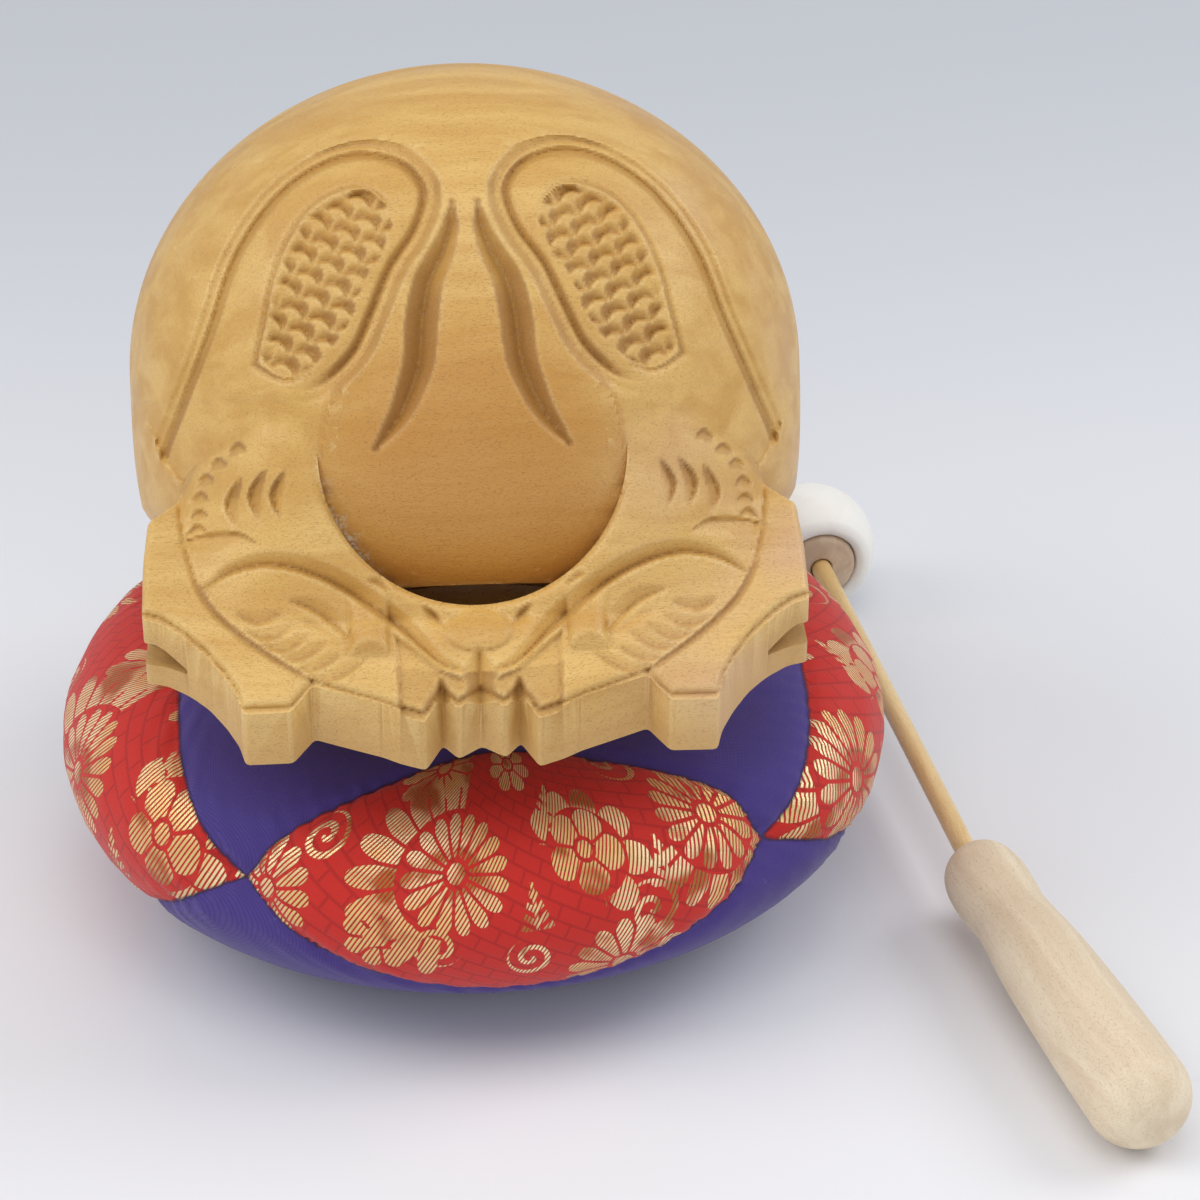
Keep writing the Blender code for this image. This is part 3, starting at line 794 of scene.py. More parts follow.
@dataclass(frozen=True)
class BrocadeAndTwill:
    """Red brocade figured in gold thread on the caps, and plain purple twill on the stars."""

    red: Colour = (0.600, 0.020, 0.012)
    red_dark: Colour = (0.330, 0.008, 0.008)
    purple: Colour = (0.062, 0.036, 0.230)
    purple_dark: Colour = (0.030, 0.018, 0.120)
    gold: Colour = (0.800, 0.560, 0.210)
    gold_light: Colour = (0.960, 0.800, 0.450)
    copper: Colour = (0.400, 0.170, 0.030)
    repeat: Pair = (118.0, 80.0)
    figures: Tuple[Figure, ...] = (
        flower(-12.8, 5.2, 12.0, 16, 0.25), outer_petals(-12.8, 5.2, 23.0, 22, 0.57, 175.0, 0.1),
        flower(45.6, 4.7, 9.6, 14, 0.26, 0.4), outer_petals(45.6, 4.7, 16.6, 18, 0.62, -60.0, -0.35),
        flower(-27.1, -8.3, 7.2, 8, 0.32), flower(-25.8, 28.7, 13.0, 14, 0.26, 0.2),
        flower(23.5, -18.7, 12.0, 14, 0.26, 0.7), flower(17.6, 7.4, 8.4, 5, 0.3, 0.75),
        outer_petals(17.6, 7.0, 13.6, 9, 0.66, 40.0, -0.55), flower(-49.6, -4.6, 9.0, 12, 0.27, 0.3),
        flower(4.0, 31.0, 9.0, 8, 0.32, 0.1), sprig(9.3, 13.0, 11.0, 30.0), sprig(4.6, -6.2, 9.5, -4.0),
        sprig(32.0, -3.0, 9.0, 8.0), tendril(-43.0, 7.0, 4.6, 0.1), tendril(-16.2, -9.6, 5.0, 0.6),
        tendril(3.0, -12.8, 5.0, 0.35, -1.0), tendril(27.8, -6.4, 5.6, 0.15), tendril(41.0, 22.0, 6.4, 0.2, -1.0),
    )

    def build(self, twill: Tree, shapes: dict) -> Look:
        """Makes the material.

        Args:
            twill: The twill node group.
            shapes: The node group of each kind of woven figure.

        Returns:
            The finished material.
        """
        made, g, shader = material("cushion_fabric", 0.7, Sheen_Roughness=0.45, Sheen_Weight=0.18,
                                   Specular_IOR_Level=0.35)
        flat = g.node("ShaderNodeUVMap", uv_map="cloth").outputs[0]
        cloth = g.vector("SCALE", flat, 1000.0)
        half = (self.repeat[0] / 2, self.repeat[1] / 2)
        wrap = g.node("ShaderNodeVectorMath", operation="WRAP")
        g.feed(wrap.inputs[0], cloth)
        wrap.inputs[1].default_value = (*half, 1.0)
        wrap.inputs[2].default_value = (-half[0], -half[1], -1.0)
        tile = wrap.outputs[0]
        woven: Optional[Socket] = None
        for figure in self.figures:
            shape = g.group(shapes[figure.kind], Vector=tile, Centre=(*figure.centre, 0.0),
                            **dict(figure.values)).outputs[0]
            woven = shape if woven is None else g.math("MAXIMUM", woven, shape)
        threads = g.group(twill, Vector=cloth, Pitch=0.92, Slant=-0.62).outputs
        hatch = g.ramp(threads["Rib"], 0.28, 0.52)
        gold_mask = g.mul(woven, hatch)
        fret = g.node("ShaderNodeTexBrick", offset=0.5)
        slanted = g.node("ShaderNodeMapping")
        g.feed(slanted.inputs["Vector"], cloth)
        slanted.inputs["Rotation"].default_value = (0.0, 0.0, math.radians(28.0))
        g.feed(fret.inputs["Vector"], slanted.outputs[0])
        for label, value in (("Scale", 1.0), ("Mortar Size", 0.34), ("Mortar Smooth", 0.3), ("Brick Width", 6.4),
                             ("Row Height", 3.2)):
            fret.inputs[label].default_value = value
        lines = fret.outputs["Fac"]
        ground = g.group(twill, Vector=cloth, Pitch=0.46, Slant=0.9).outputs
        red = g.mix(g.mul(lines, 0.5), self.red, self.red_dark)
        red = g.mix(g.mul(g.ramp(ground["Rib"], 0.5, 0.1), 0.4), red, self.red_dark)
        worn = g.ramp(g.noise(cloth, 0.045, 3.0), 0.42, 0.6)
        gold = g.mix(worn, self.gold, self.gold_light)
        gold = g.mix(g.ramp(g.noise(cloth, 0.09, 2.0), 0.5, 0.64), gold, self.copper)
        red = g.mix(gold_mask, red, gold)
        plain = g.group(twill, Vector=in_mm(g), Pitch=0.52, Slant=0.8).outputs
        purple = g.mix(g.mul(g.ramp(plain["Rib"], 0.6, 0.1), 0.55), self.purple, self.purple_dark)
        lint = g.ramp(g.noise(in_mm(g), 0.7, 4.0, 0.7), 0.64, 0.74)
        purple = g.mix(g.mul(lint, 0.12), purple, (0.3, 0.26, 0.5))
        cap = g.mask("cap")
        on_cap = g.ramp(cap, -0.05, 0.05)
        colour = g.mix(on_cap, purple, red)
        seam = g.ramp(g.math("ABSOLUTE", cap), 0.75, 0.0)
        colour = g.mix(g.mul(seam, 0.75), colour, (0.03, 0.006, 0.02))
        gold_here = g.mul(gold_mask, on_cap)
        height = g.mul_add(gold_here, 0.9, g.mul(ground["Rib"], 0.25))
        height = g.mul_add(g.mul(lines, on_cap), -0.3, height)
        height = g.mul_add(g.mul(ground["Thread"], threads["Thread"]), 0.25, height)
        g.drive(shader, Base_Color=colour, Metallic=g.mul(gold_here, 0.55),
                Roughness=g.mul_add(gold_here, -0.36, 0.74), Normal=g.bump(height, 0.00014))
        return made


# ------------------------------------------------------------------ the fish

@dataclass(frozen=True)
class Gouge:
    """One knife cut: its line, its width to the right and to the left of it, and its depth, in millimetres.

    The run-out says how the cut thins out to its ends: less is more sudden.
    """

    line: Path
    right: float
    left: float
    depth: float
    run_out: float = 0.6

    def cut(self, u: Array, v: Array) -> Array:
        """The depth of the cut at each point."""
        near, share, side = along(u, v, smoothed(self.line))
        swell = np.maximum(0.06, np.sin(math.pi * unit(share))) ** self.run_out
        width = np.where(side < 0, self.right, self.left) * np.maximum(0.25, swell)
        return self.depth * swell * unit(1 - near / width)


@dataclass
class CarvedFish:
    """The wooden fish. Lengths are in millimetres, on a fish 135 mm wide; the face frame leans back."""

    seat: float = 57.5
    lean: float = math.radians(32.0)
    face_foot: float = 2.5
    half_width: float = 67.5
    round: float = 60.75
    back: float = 14.0
    rise: float = 51.5
    jowl: Pair = (0.088, 27.0)
    wall: float = 12.0
    floor: float = 15.5
    slit: Pair = (24.8, 29.5)
    slit_front: float = -46.0
    tooth: Pair = (-17.3, 74.1)
    slope: float = 0.648
    hole_v: float = 29.4
    hole: float = 29.0
    heads: float = 56.0
    arms_rise: float = 13.0
    rim: float = 66.0
    step: float = 0.46
    segments: int = 192
    sheet: Triple = (69.0, -27.0, 92.0)
    skin: float = 0.05
    clear: float = 0.95
    outline: Path = (
        (0.0, -69.6), (4.4, -72.0), (7.3, -69.2), (10.6, -74.2), (15.4, -72.6), (18.4, -71.2), (31.2, -67.0),
        (35.2, -71.7), (44.0, -71.8), (45.2, -68.0), (47.6, -64.2), (51.0, -60.0), (55.2, -56.2), (59.2, -53.4),
        (62.9, -52.2), (62.9, -42.0), (62.2, -33.4), (57.0, -29.5), (44.0, 4.0))
    underside: Path = ((-90.0, 7.5), (-72.0, 14.2), (-54.0, 20.5), (-34.0, 17.0), (-20.0, 8.0), (-10.0, -2.0),
                       (-90.0, -2.0))
    border: Path = (
        (62.4, 21.0), (61.0, 31.0), (56.0, 41.5), (50.0, 54.5), (44.8, 68.0), (37.4, 78.8), (28.6, 85.3),
        (19.5, 87.6), (11.0, 85.0), (6.6, 78.5), (8.6, 70.5), (13.4, 63.2), (17.0, 55.0), (20.8, 47.5),
        (27.0, 42.0), (34.0, 39.5))
    bed: Path = (
        (40.2, 46.8), (38.2, 55.0), (36.3, 63.0), (33.2, 70.5), (29.2, 76.0), (24.5, 78.9), (19.4, 79.6),
        (15.4, 77.0), (13.4, 71.5), (15.4, 66.0), (19.0, 60.5), (21.4, 54.0), (25.0, 49.0), (29.6, 45.0),
        (35.0, 43.8))
    whisker: Path = ((2.4, 75.8), (3.0, 70.5), (4.8, 65.5), (7.2, 60.5), (8.6, 54.0), (9.4, 46.0), (11.2, 40.5),
                     (13.8, 35.3), (18.2, 29.8))
    band_line: Path = ((57.0, 27.0), (56.5, 23.5), (55.5, 16.0), (53.4, 8.0), (50.5, 2.0), (45.7, -3.0),
                       (38.6, -8.3), (31.2, -12.8))
    gills: Tuple[Path, ...] = (
        ((45.5, 0.5), (41.0, -1.6), (36.2, 0.0)), ((43.7, -3.0), (39.0, -4.5), (34.4, -2.6)),
        ((40.4, -5.8), (35.9, -6.6), (31.1, -4.0)), ((36.8, -8.0), (33.1, -8.4), (27.9, -5.5)),
        ((34.0, -10.2), (30.6, -10.5), (25.6, -8.0)), ((32.4, -11.5), (27.6, -12.5), (21.2, -9.3)))
    tufts: Tuple[Path, ...] = (
        ((38.6, 27.4), (41.8, 22.6), (40.2, 17.2)), ((35.0, 27.0), (37.6, 22.4), (36.2, 17.4)),
        ((43.6, 26.2), (46.4, 21.0), (44.6, 16.2)))
    scallops: Tuple[Pair, ...] = ((44.0, 31.5), (47.9, 28.9), (50.5, 26.1), (51.8, 22.6), (52.0, 19.3), (52.4, 16.5))
    pitch: Triple = (3.45, 5.7, 2.85)
    scale_turn: float = 26.0
    scale_depth: float = 1.6
    facet: Path = ((16.0, -4.2), (15.2, -22.0), (2.6, -22.0), (1.6, -13.4), (6.4, -11.6), (12.6, -6.6))
    strokes: Tuple[Tuple[Path, float, float, float], ...] = (
        (((57.0, 13.4), (54.0, 14.6), (49.4, 15.2), (44.6, 15.0), (40.6, 13.0)), 0.8, 3.6, 1.6),
        (((36.0, 2.4), (31.0, 0.6), (27.0, -2.4), (23.6, -5.6)), 2.8, 0.8, 1.5),
        (((33.4, -1.6), (29.4, -3.0), (26.4, -5.6)), 1.5, 0.8, 0.6),
        (((20.6, 5.4), (18.4, 5.2), (16.4, 3.6)), 1.6, 0.8, 1.4),
        (((10.4, 0.6), (8.2, -1.2), (6.2, -3.6)), 0.8, 2.0, 1.5),
        (((7.3, -25.0), (7.0, -18.0), (7.4, -11.5)), 2.4, 2.4, 3.2),
        (((0.0, -24.0), (0.0, -16.0), (0.0, -8.0)), 4.2, 4.2, 3.4))
    cuts: list = field(default_factory=list)

    def __post_init__(self) -> None:
        """Lists every knife cut of the right half."""
        brow = ((51.0, 5.2), (46.0, 8.0), (40.2, 9.2), (34.8, 8.6), (29.6, 6.8), (25.0, 4.4), (20.6, 1.3),
                (16.2, -2.0), (12.6, -5.2), (9.4, -8.4), (6.4, -10.8), (2.4, -12.0))
        self.cuts = [Gouge(brow, 3.1, 0.9, 2.7, 0.4), Gouge(self.band_line, 0.85, 0.85, 1.0, 0.15)]
        self.cuts += [Gouge(line, 2.3, 0.8, 1.15, 0.5) for line in self.gills]
        self.cuts += [Gouge(line, 2.2, 0.8, 1.6, 0.7) for line in self.tufts]
        self.cuts += [Gouge(((u + 2.2, v - 1.3), (u + 0.3, v + 0.5), (u - 1.8, v - 0.8)), 0.8, 2.2, 1.4, 0.7)
                      for u, v in self.scallops]
        self.cuts += [Gouge(*stroke) for stroke in self.strokes]

    def place(self, u: float, v: float, w: float) -> Triple:
        """A point of the face frame, as a place in the whole model."""
        y = v * math.sin(self.lean) - w * math.cos(self.lean)
        return u, y, v * math.cos(self.lean) + w * math.sin(self.lean) + self.face_foot + self.seat

    def plan(self, a: float, b: float, level: float) -> Triple:
        """Across and back, at a height over the seat."""
        return a, b, level + self.seat

    def side_view(self, a: float, b: float, level: float) -> Triple:
        """Back and up, at a distance across."""
        return level, a, b + self.seat

    def middle(self) -> Pair:
        """The body's middle in the face frame."""
        rise = self.rise - self.face_foot
        cos, sin = math.cos(self.lean), math.sin(self.lean)
        return rise * cos + self.back * sin, rise * sin - self.back * cos

    def widening(self, v: Array) -> Array:
        """How much wider than an ellipsoid the body is at a height on the face."""
        return 1 + self.jowl[0] * unit((self.middle()[0] - v) / self.jowl[1]) ** 2

    def body_front(self, u: Array, v: Array) -> Array:
        """How far out the round body stands at a point of the face."""
        mid_v, mid_w = self.middle()
        within = 1 - (u / (self.half_width * self.widening(v))) ** 2 - ((v - mid_v) / self.round) ** 2
        return mid_w + self.round * np.sqrt(np.maximum(0.0, within))

    def slab_front(self, u: Array, v: Array) -> Array:
        """How far out the slab stands: its flat rim band, and the heads and arms that swell to the hole."""
        band = self.tooth[1] - self.slope * (v - self.tooth[0])
        from_hole = np.hypot(u, v - self.hole_v)
        swell = unit((self.heads - from_hole) / (self.heads - self.hole))
        rim = np.maximum(self.rim, band + 2.0)
        slab = band + (rim - band) * (1 - (1 - swell) ** 2)
        x, y, _ = self.place(u, v, band)
        full = list(self.outline) + [(-a, b) for a, b in reversed(self.outline) if a > 0]
        slab = slab - round_over(inside(x, y, full), 1.7)
        stands = unit((slab - self.body_front(u, v) - 1.0) / 3.0)
        slab = slab - round_over(from_hole - self.hole, 2.0) * stands
        into_body = soft_step((v - self.hole_v - 4.0) / 8.0)
        return slab + (self.body_front(u, v) - slab) * into_body

    def scales(self, u: Array, v: Array) -> Array:
        """Rows of scales: a crescent is pared down to the round upper edge of each."""
        turn = math.radians(self.scale_turn)
        a, b = u * math.cos(turn) + v * math.sin(turn), v * math.cos(turn) - u * math.sin(turn)
        high, wide, round_edge = self.pitch
        deepest = np.zeros(np.shape(u))
        for back in (0, 1, 2):
            row = np.floor(b / high) - back
            x = ((a / wide + 0.5 * (row % 2)) % 1.0 - 0.5) * wide
            y = b - row * high
            reach, off = np.hypot(x, y) - round_edge, np.abs(np.arctan2(x, np.maximum(y, 1e-6)))
            width = 2.0 * np.clip(1 - (off / 1.45) ** 2, 0.02, 1.0)
            slope = np.where(reach >= 0, 1 - reach / width, 1 + reach / 0.6)
            deepest = np.where(off < 1.45, np.maximum(deepest, unit(slope) * width / 2.0), deepest)
        return self.scale_depth * deepest

    def carving(self, u: Array, v: Array) -> Array:
        """Depth of all the cuts, in millimetres; u is taken on the right half."""
        mark = Gouge(self.whisker, 3.2, 3.4, 3.6, 0.5).cut(u, v)
        line = smoothed(self.border)
        near, share, side = along(u, v, line)
        s = near * side
        fade = soft_step((1 - share) / 0.08) * soft_step(share / 0.03)
        inner = soft_step((share - 0.5) / 0.12)
        step = 1.1 + 0.7 * inner
        depth = step * unit((s + 1.7 + 0.8 * inner) / (0.8 + 0.9 * inner))
        groove = unit(1 - np.where(s < 1.0, 1.0 - s, (s - 1.0) * 0.55) / 0.8)
        depth = np.maximum(depth, (step + 1.4 * groove) * (s > -0.6))
        depth = depth * np.where(s > 1.0, unit(1 - (s - 1.0) / 9.0), 1.0)
        mark = np.maximum(mark, depth * fade * (near < 12.0))
        bed = inside(u, v, smoothed(list(self.bed) + [self.bed[0]])[:-1])
        outer = soft_step((u - 37.0 + 0.5 * (v - 45.0)) / 6.0 + 0.5)
        dished = 0.9 + 0.7 * soft_step(bed / 7.0)
        mark = np.maximum(mark, soft_step(bed / (0.8 + 2.0 * outer)) * (dished + self.scales(u, v)))
        mark = np.maximum(mark, 0.9 * unit(1 - np.abs(bed + 0.2) / 0.9))
        mark = np.maximum(mark, 1.2 * unit(inside(u, v, self.facet) / 0.8))
        for gouge in self.cuts:
            mark = np.maximum(mark, gouge.cut(u, v))
        return mark

    def knobs(self, u: Array, v: Array) -> Array:
        """Height of what stands above the heads: the eyes and the pearl between them."""
        barrel = 3.0 * np.sqrt(np.maximum(0.0, 1 - ((u - 20.3) / 3.7) ** 2)) * soft_step((4.5 - v) / 8.0)
        lid = np.clip(np.minimum(barrel, 0.95 * (v + 8.6)), 0.0, None)
        pearl = np.hypot(u / 6.2, (v + 4.4) / 3.8)
        return lid + 1.8 * np.sqrt(np.maximum(0.0, 1 - pearl ** 2))

    def surface(self, u: Array, v: Array) -> Tuple[Array, Array, Array]:
        """The carved front at points of the face.

        Args:
            u: Distances across.
            v: Distances up the face.

        Returns:
            How far out it stands, the depth of the cuts in it, and where it is the slab.
        """
        body = self.body_front(u, v)
        from_hole = np.hypot(u, v - self.hole_v)
        on_slab = (from_hole > self.hole - 1.3) & (v < self.hole_v + self.arms_rise)
        flat = np.where(on_slab, np.maximum(self.slab_front(u, v), body - 0.3), body)
        mark = self.carving(np.abs(u), v)
        flat = flat + np.where(on_slab, self.knobs(np.abs(u), v), 0.0)
        return flat - mark, mark, on_slab

    def block(self) -> Obj:
        """The uncarved block: the round body with the notched front slab."""
        deselect()
        bpy.ops.mesh.primitive_uv_sphere_add(segments=self.segments, ring_count=self.segments // 2, radius=1.0)
        body = named("fish_carving")
        ball = places(body)[:, [2, 1, 0]] * (-1.0, 1.0, 1.0)
        ball = ball * (self.half_width, self.round, self.round) + (0.0, self.back, self.rise)
        up_face = ball[:, 1] * math.sin(self.lean) + (ball[:, 2] - self.face_foot) * math.cos(self.lean)
        ball[:, 0] *= self.widening(up_face)
        move_to(body, (ball + (0.0, 0.0, self.seat)) * MM)
        face_outwards(body)
        left = [(-a, b) for a, b in reversed(self.outline) if a > 0]
        slab = outline_solid("slab", eased(list(self.outline) + left, 0.8), 10.0, 90.0, self.plan)
        turns = [2 * math.pi * i / 120 for i in range(120)]
        ring = [(self.hole * math.sin(t), self.hole_v + self.hole * math.cos(t)) for t in turns]
        cut(slab, outline_solid("hand_hole", ring, 20.0, 120.0, self.place))
        cut(slab, outline_solid("below_slab", smoothed(self.underside[:-1], 5) + [self.underside[-1]], -90.0, 90.0,
                                self.side_view))
        top = self.hole_v + self.arms_rise
        over = ((-90.0, top), (90.0, top), (90.0, top + 90), (-90.0, top + 90))
        cut(slab, outline_solid("above_slab", over, 0.0, 150.0, self.place))
        cut(body, slab, "UNION")
        return body

    def ball_tool(self, name: str, middle: Triple, radii: Triple,
                  segments: int) -> Obj:
        """An ellipsoid to cut with, given over the seat in millimetres."""
        deselect()
        bpy.ops.mesh.primitive_uv_sphere_add(segments=segments, ring_count=segments // 2, radius=1.0)
        tool = named(name)
        move_to(tool, (places(tool) * radii + middle + (0.0, 0.0, self.seat)) * MM)
        return tool

    def hollow(self, fish: Obj) -> None:
        """Cuts the seat, the sound chamber and the mouth."""
        square = ((-90.0, -90.0), (90.0, -90.0), (90.0, 90.0), (-90.0, 90.0))
        cut(fish, outline_solid("below_seat", square, -30.0, 0.0, self.plan))
        inner = self.round - self.wall
        roof = self.rise + inner
        half_rise = (roof - self.floor) / 2
        cut(fish, self.ball_tool("chamber", (0.0, self.back, roof - half_rise),
                                 (self.half_width - self.wall, inner, half_rise), 64))
        low, high = self.slit
        mouth = ((-90.0, -52.0), (-62.0, -50.0), (-50.0, self.slit_front), (50.0, self.slit_front), (62.0, -50.0),
                 (90.0, -52.0), (90.0, 95.0), (-90.0, 95.0))
        cut(fish, outline_solid("mouth_slit", mouth, low, high, self.plan))
        for side in (-1, 1):
            corner = outline_solid("slit_corner", ((48.0, -47.0), (90.0, -48.0), (90.0, -66.0), (56.6, -59.0)), low,
                                   high, lambda a, b, level: self.plan(side * a, b, level))
            points = places(corner)
            tip = (np.abs(points[:, 0]) < 0.058) & (points[:, 1] < -0.05)
            points[tip, 2] = (self.seat + low + 0.2) * MM
            move_to(corner, points)
            face_outwards(corner, merge=0.00005)
            cut(fish, corner)
        cut(fish, self.ball_tool("throat", (0.0, -38.0, 28.0), (25.0, 12.0, 9.0), 48))

    def carve(self, fish: Obj) -> None:
        """Carves the whole front with one sheet that has the relief in it."""
        (wide, low_v, high_v), front = self.sheet, 110.0
        columns, rows = int(2 * wide / self.step), int((high_v - low_v) / self.step)
        deselect()
        bpy.ops.mesh.primitive_grid_add(x_subdivisions=columns, y_subdivisions=rows, size=2.0)
        sheet = named("relief")
        grid = places(sheet)
        u, v = grid[:, 0] * wide, (grid[:, 1] + 1) / 2 * (high_v - low_v) + low_v
        w, mark, on_slab = self.surface(u, v)
        within = 1 - (u / self.half_width) ** 2 - ((v - self.middle()[0]) / self.round) ** 2
        from_hole = np.hypot(u, v - self.hole_v)
        rim = unit((from_hole - self.hole + 3.6) / 2.2) * (v < self.hole_v + self.arms_rise - 1.5)
        edges = np.maximum(unit((0.17 - within) / 0.03), unit((v - 87.0) / 2.0))
        lift = np.maximum(rim, edges)
        free = np.where(on_slab, 0.0, 1.0) * unit(1 - mark / 0.25)
        w = w - self.skin * (mark < self.skin) + self.clear * lift * free
        move_to(sheet, np.stack(self.place(u, v, w), 1) * MM)
        with editing(sheet):
            bpy.ops.mesh.select_all(action="SELECT")
            bpy.ops.mesh.region_to_loop()
            bpy.ops.mesh.extrude_edges_move()
        flat = np.zeros(len(sheet.data.vertices), bool)
        sheet.data.vertices.foreach_get("select", flat)
        points = places(sheet)
        out = np.array((0.0, -math.cos(self.lean), math.sin(self.lean)))
        foot = np.array(self.place(0.0, 0.0, 0.0)) * MM
        points[flat] += out * (front * MM - (points[flat] - foot) @ out)[:, None]
        move_to(sheet, points)
        with editing(sheet):
            bpy.ops.mesh.edge_face_add()
        face_outwards(sheet)
        cut(fish, sheet)

    def masks(self, fish: Obj) -> None:
        """Keeps on the mesh where the wood is cut, where dust lies, and where painted shade and painted highlight
        go.
        """
        points = places(fish) / MM
        u = points[:, 0]
        over = points[:, 2] - self.face_foot - self.seat
        cos, sin = math.cos(self.lean), math.sin(self.lean)
        v = points[:, 1] * sin + over * cos
        w = over * sin - points[:, 1] * cos
        height, mark, on_slab = self.surface(u, v)
        on_face = np.abs(w - height) < 0.7
        beside, above = slopes(lambda a, b: self.surface(a, b)[0], u, v)
        steeper = np.hypot(beside, above) - np.hypot(*slopes(self.body_front, u, v))
        cut_here = on_face & (mark > 0.05)
        # Cut depth: it thins the wax, and the colour darkens with it as painted shade in the cuts.
        write_mask(fish, "recess", cut_here * unit(mark / 2.2))
        # Steep cut walls turn brown, partly as end grain and partly as painted shade: walls that face up, towards
        # the light, are darkened less.
        shade = 1 - 0.55 * soft_step((-above - 0.25) / 0.4)
        write_mask(fish, "wall", cut_here * unit((steeper - 0.3) / 0.35) * shade)
        from_hole = np.hypot(u, v - self.hole_v)
        # Painted shade: the slab's front walls under the face are darkened, since they face down, away from the
        # light.
        write_mask(fish, "front_wall_shade", (w < height - 1.2) & (points[:, 1] < -44.0))
        # Painted shade: the floor inside the hand hole, which lies behind the rim and faces down, turns darker
        # orange-brown.
        pool = np.hypot(u / 31.0, (v - 24.0) / 33.0)
        inside_hole = (w < self.body_front(u, v) + 0.6) & (w > 20.0) & ~(on_slab & (from_hole > self.hole))
        write_mask(fish, "hole_floor_shade", inside_hole * soft_step((1.25 - pool) / 0.8))
        turn = np.degrees(np.arctan2(v - self.hole_v, u))
        joint = np.abs(from_hole - self.hole) < 0.9
        left = np.exp(-((turn + 148.0) / 17.0) ** 2)
        write_mask(fish, "dust", joint * (np.abs(w - self.body_front(u, v)) < 1.6) * left)
        bend = bend_of(fish)
        # Painted highlight: crests and rounded edges are made lighter.
        write_mask(fish, "ridge_highlight", unit((bend - 0.12) / 0.9))
        # Painted shade: hollows and the bottoms of cuts are darkened.
        write_mask(fish, "hollow", unit((-bend - 0.12) / 0.9))

    def build(self, wood: Look) -> Obj:
        """Models and dresses the fish.

        Args:
            wood: The carved wood.

        Returns:
            The finished piece.
        """
        fish = self.block()
        self.hollow(fish)
        self.carve(fish)
        self.masks(fish)
        dress(fish, wood, 48.0)
        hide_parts("wooden_fish")
        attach(fish, ROOT)
        return fish


# ------------------------------------------------------------------ the cushion

@dataclass(frozen=True)
class Cap:
    """One brocade cap.

    It has the bearing of its middle and half its width in degrees, how far its seam rises and falls in
    millimetres, and how steeply the seam rises at its two ends: less is steeper.
    """

    middle: float
    half: float
    rise: float
    fall: float
    bulge: Pair

    def seam(self, level: float, scale: float) -> list:
        """The closed line of its seam: millimetres round the cushion, and up the cloth from the waist."""
        turns = [-1 + i / 12 for i in range(25)]
        reach = [max(0.0, math.cos(math.pi / 2 * t)) ** self.bulge[t > 0] for t in turns]
        across = [math.radians(self.half * t) * scale for t in turns]
        top = [(a, level + self.rise * r) for a, r in zip(across, reach)]
        low = [(a, level - self.fall * max(0.0, math.cos(math.pi / 2 * t))) for a, t in zip(across, turns)]
        return top + low[-2:0:-1]


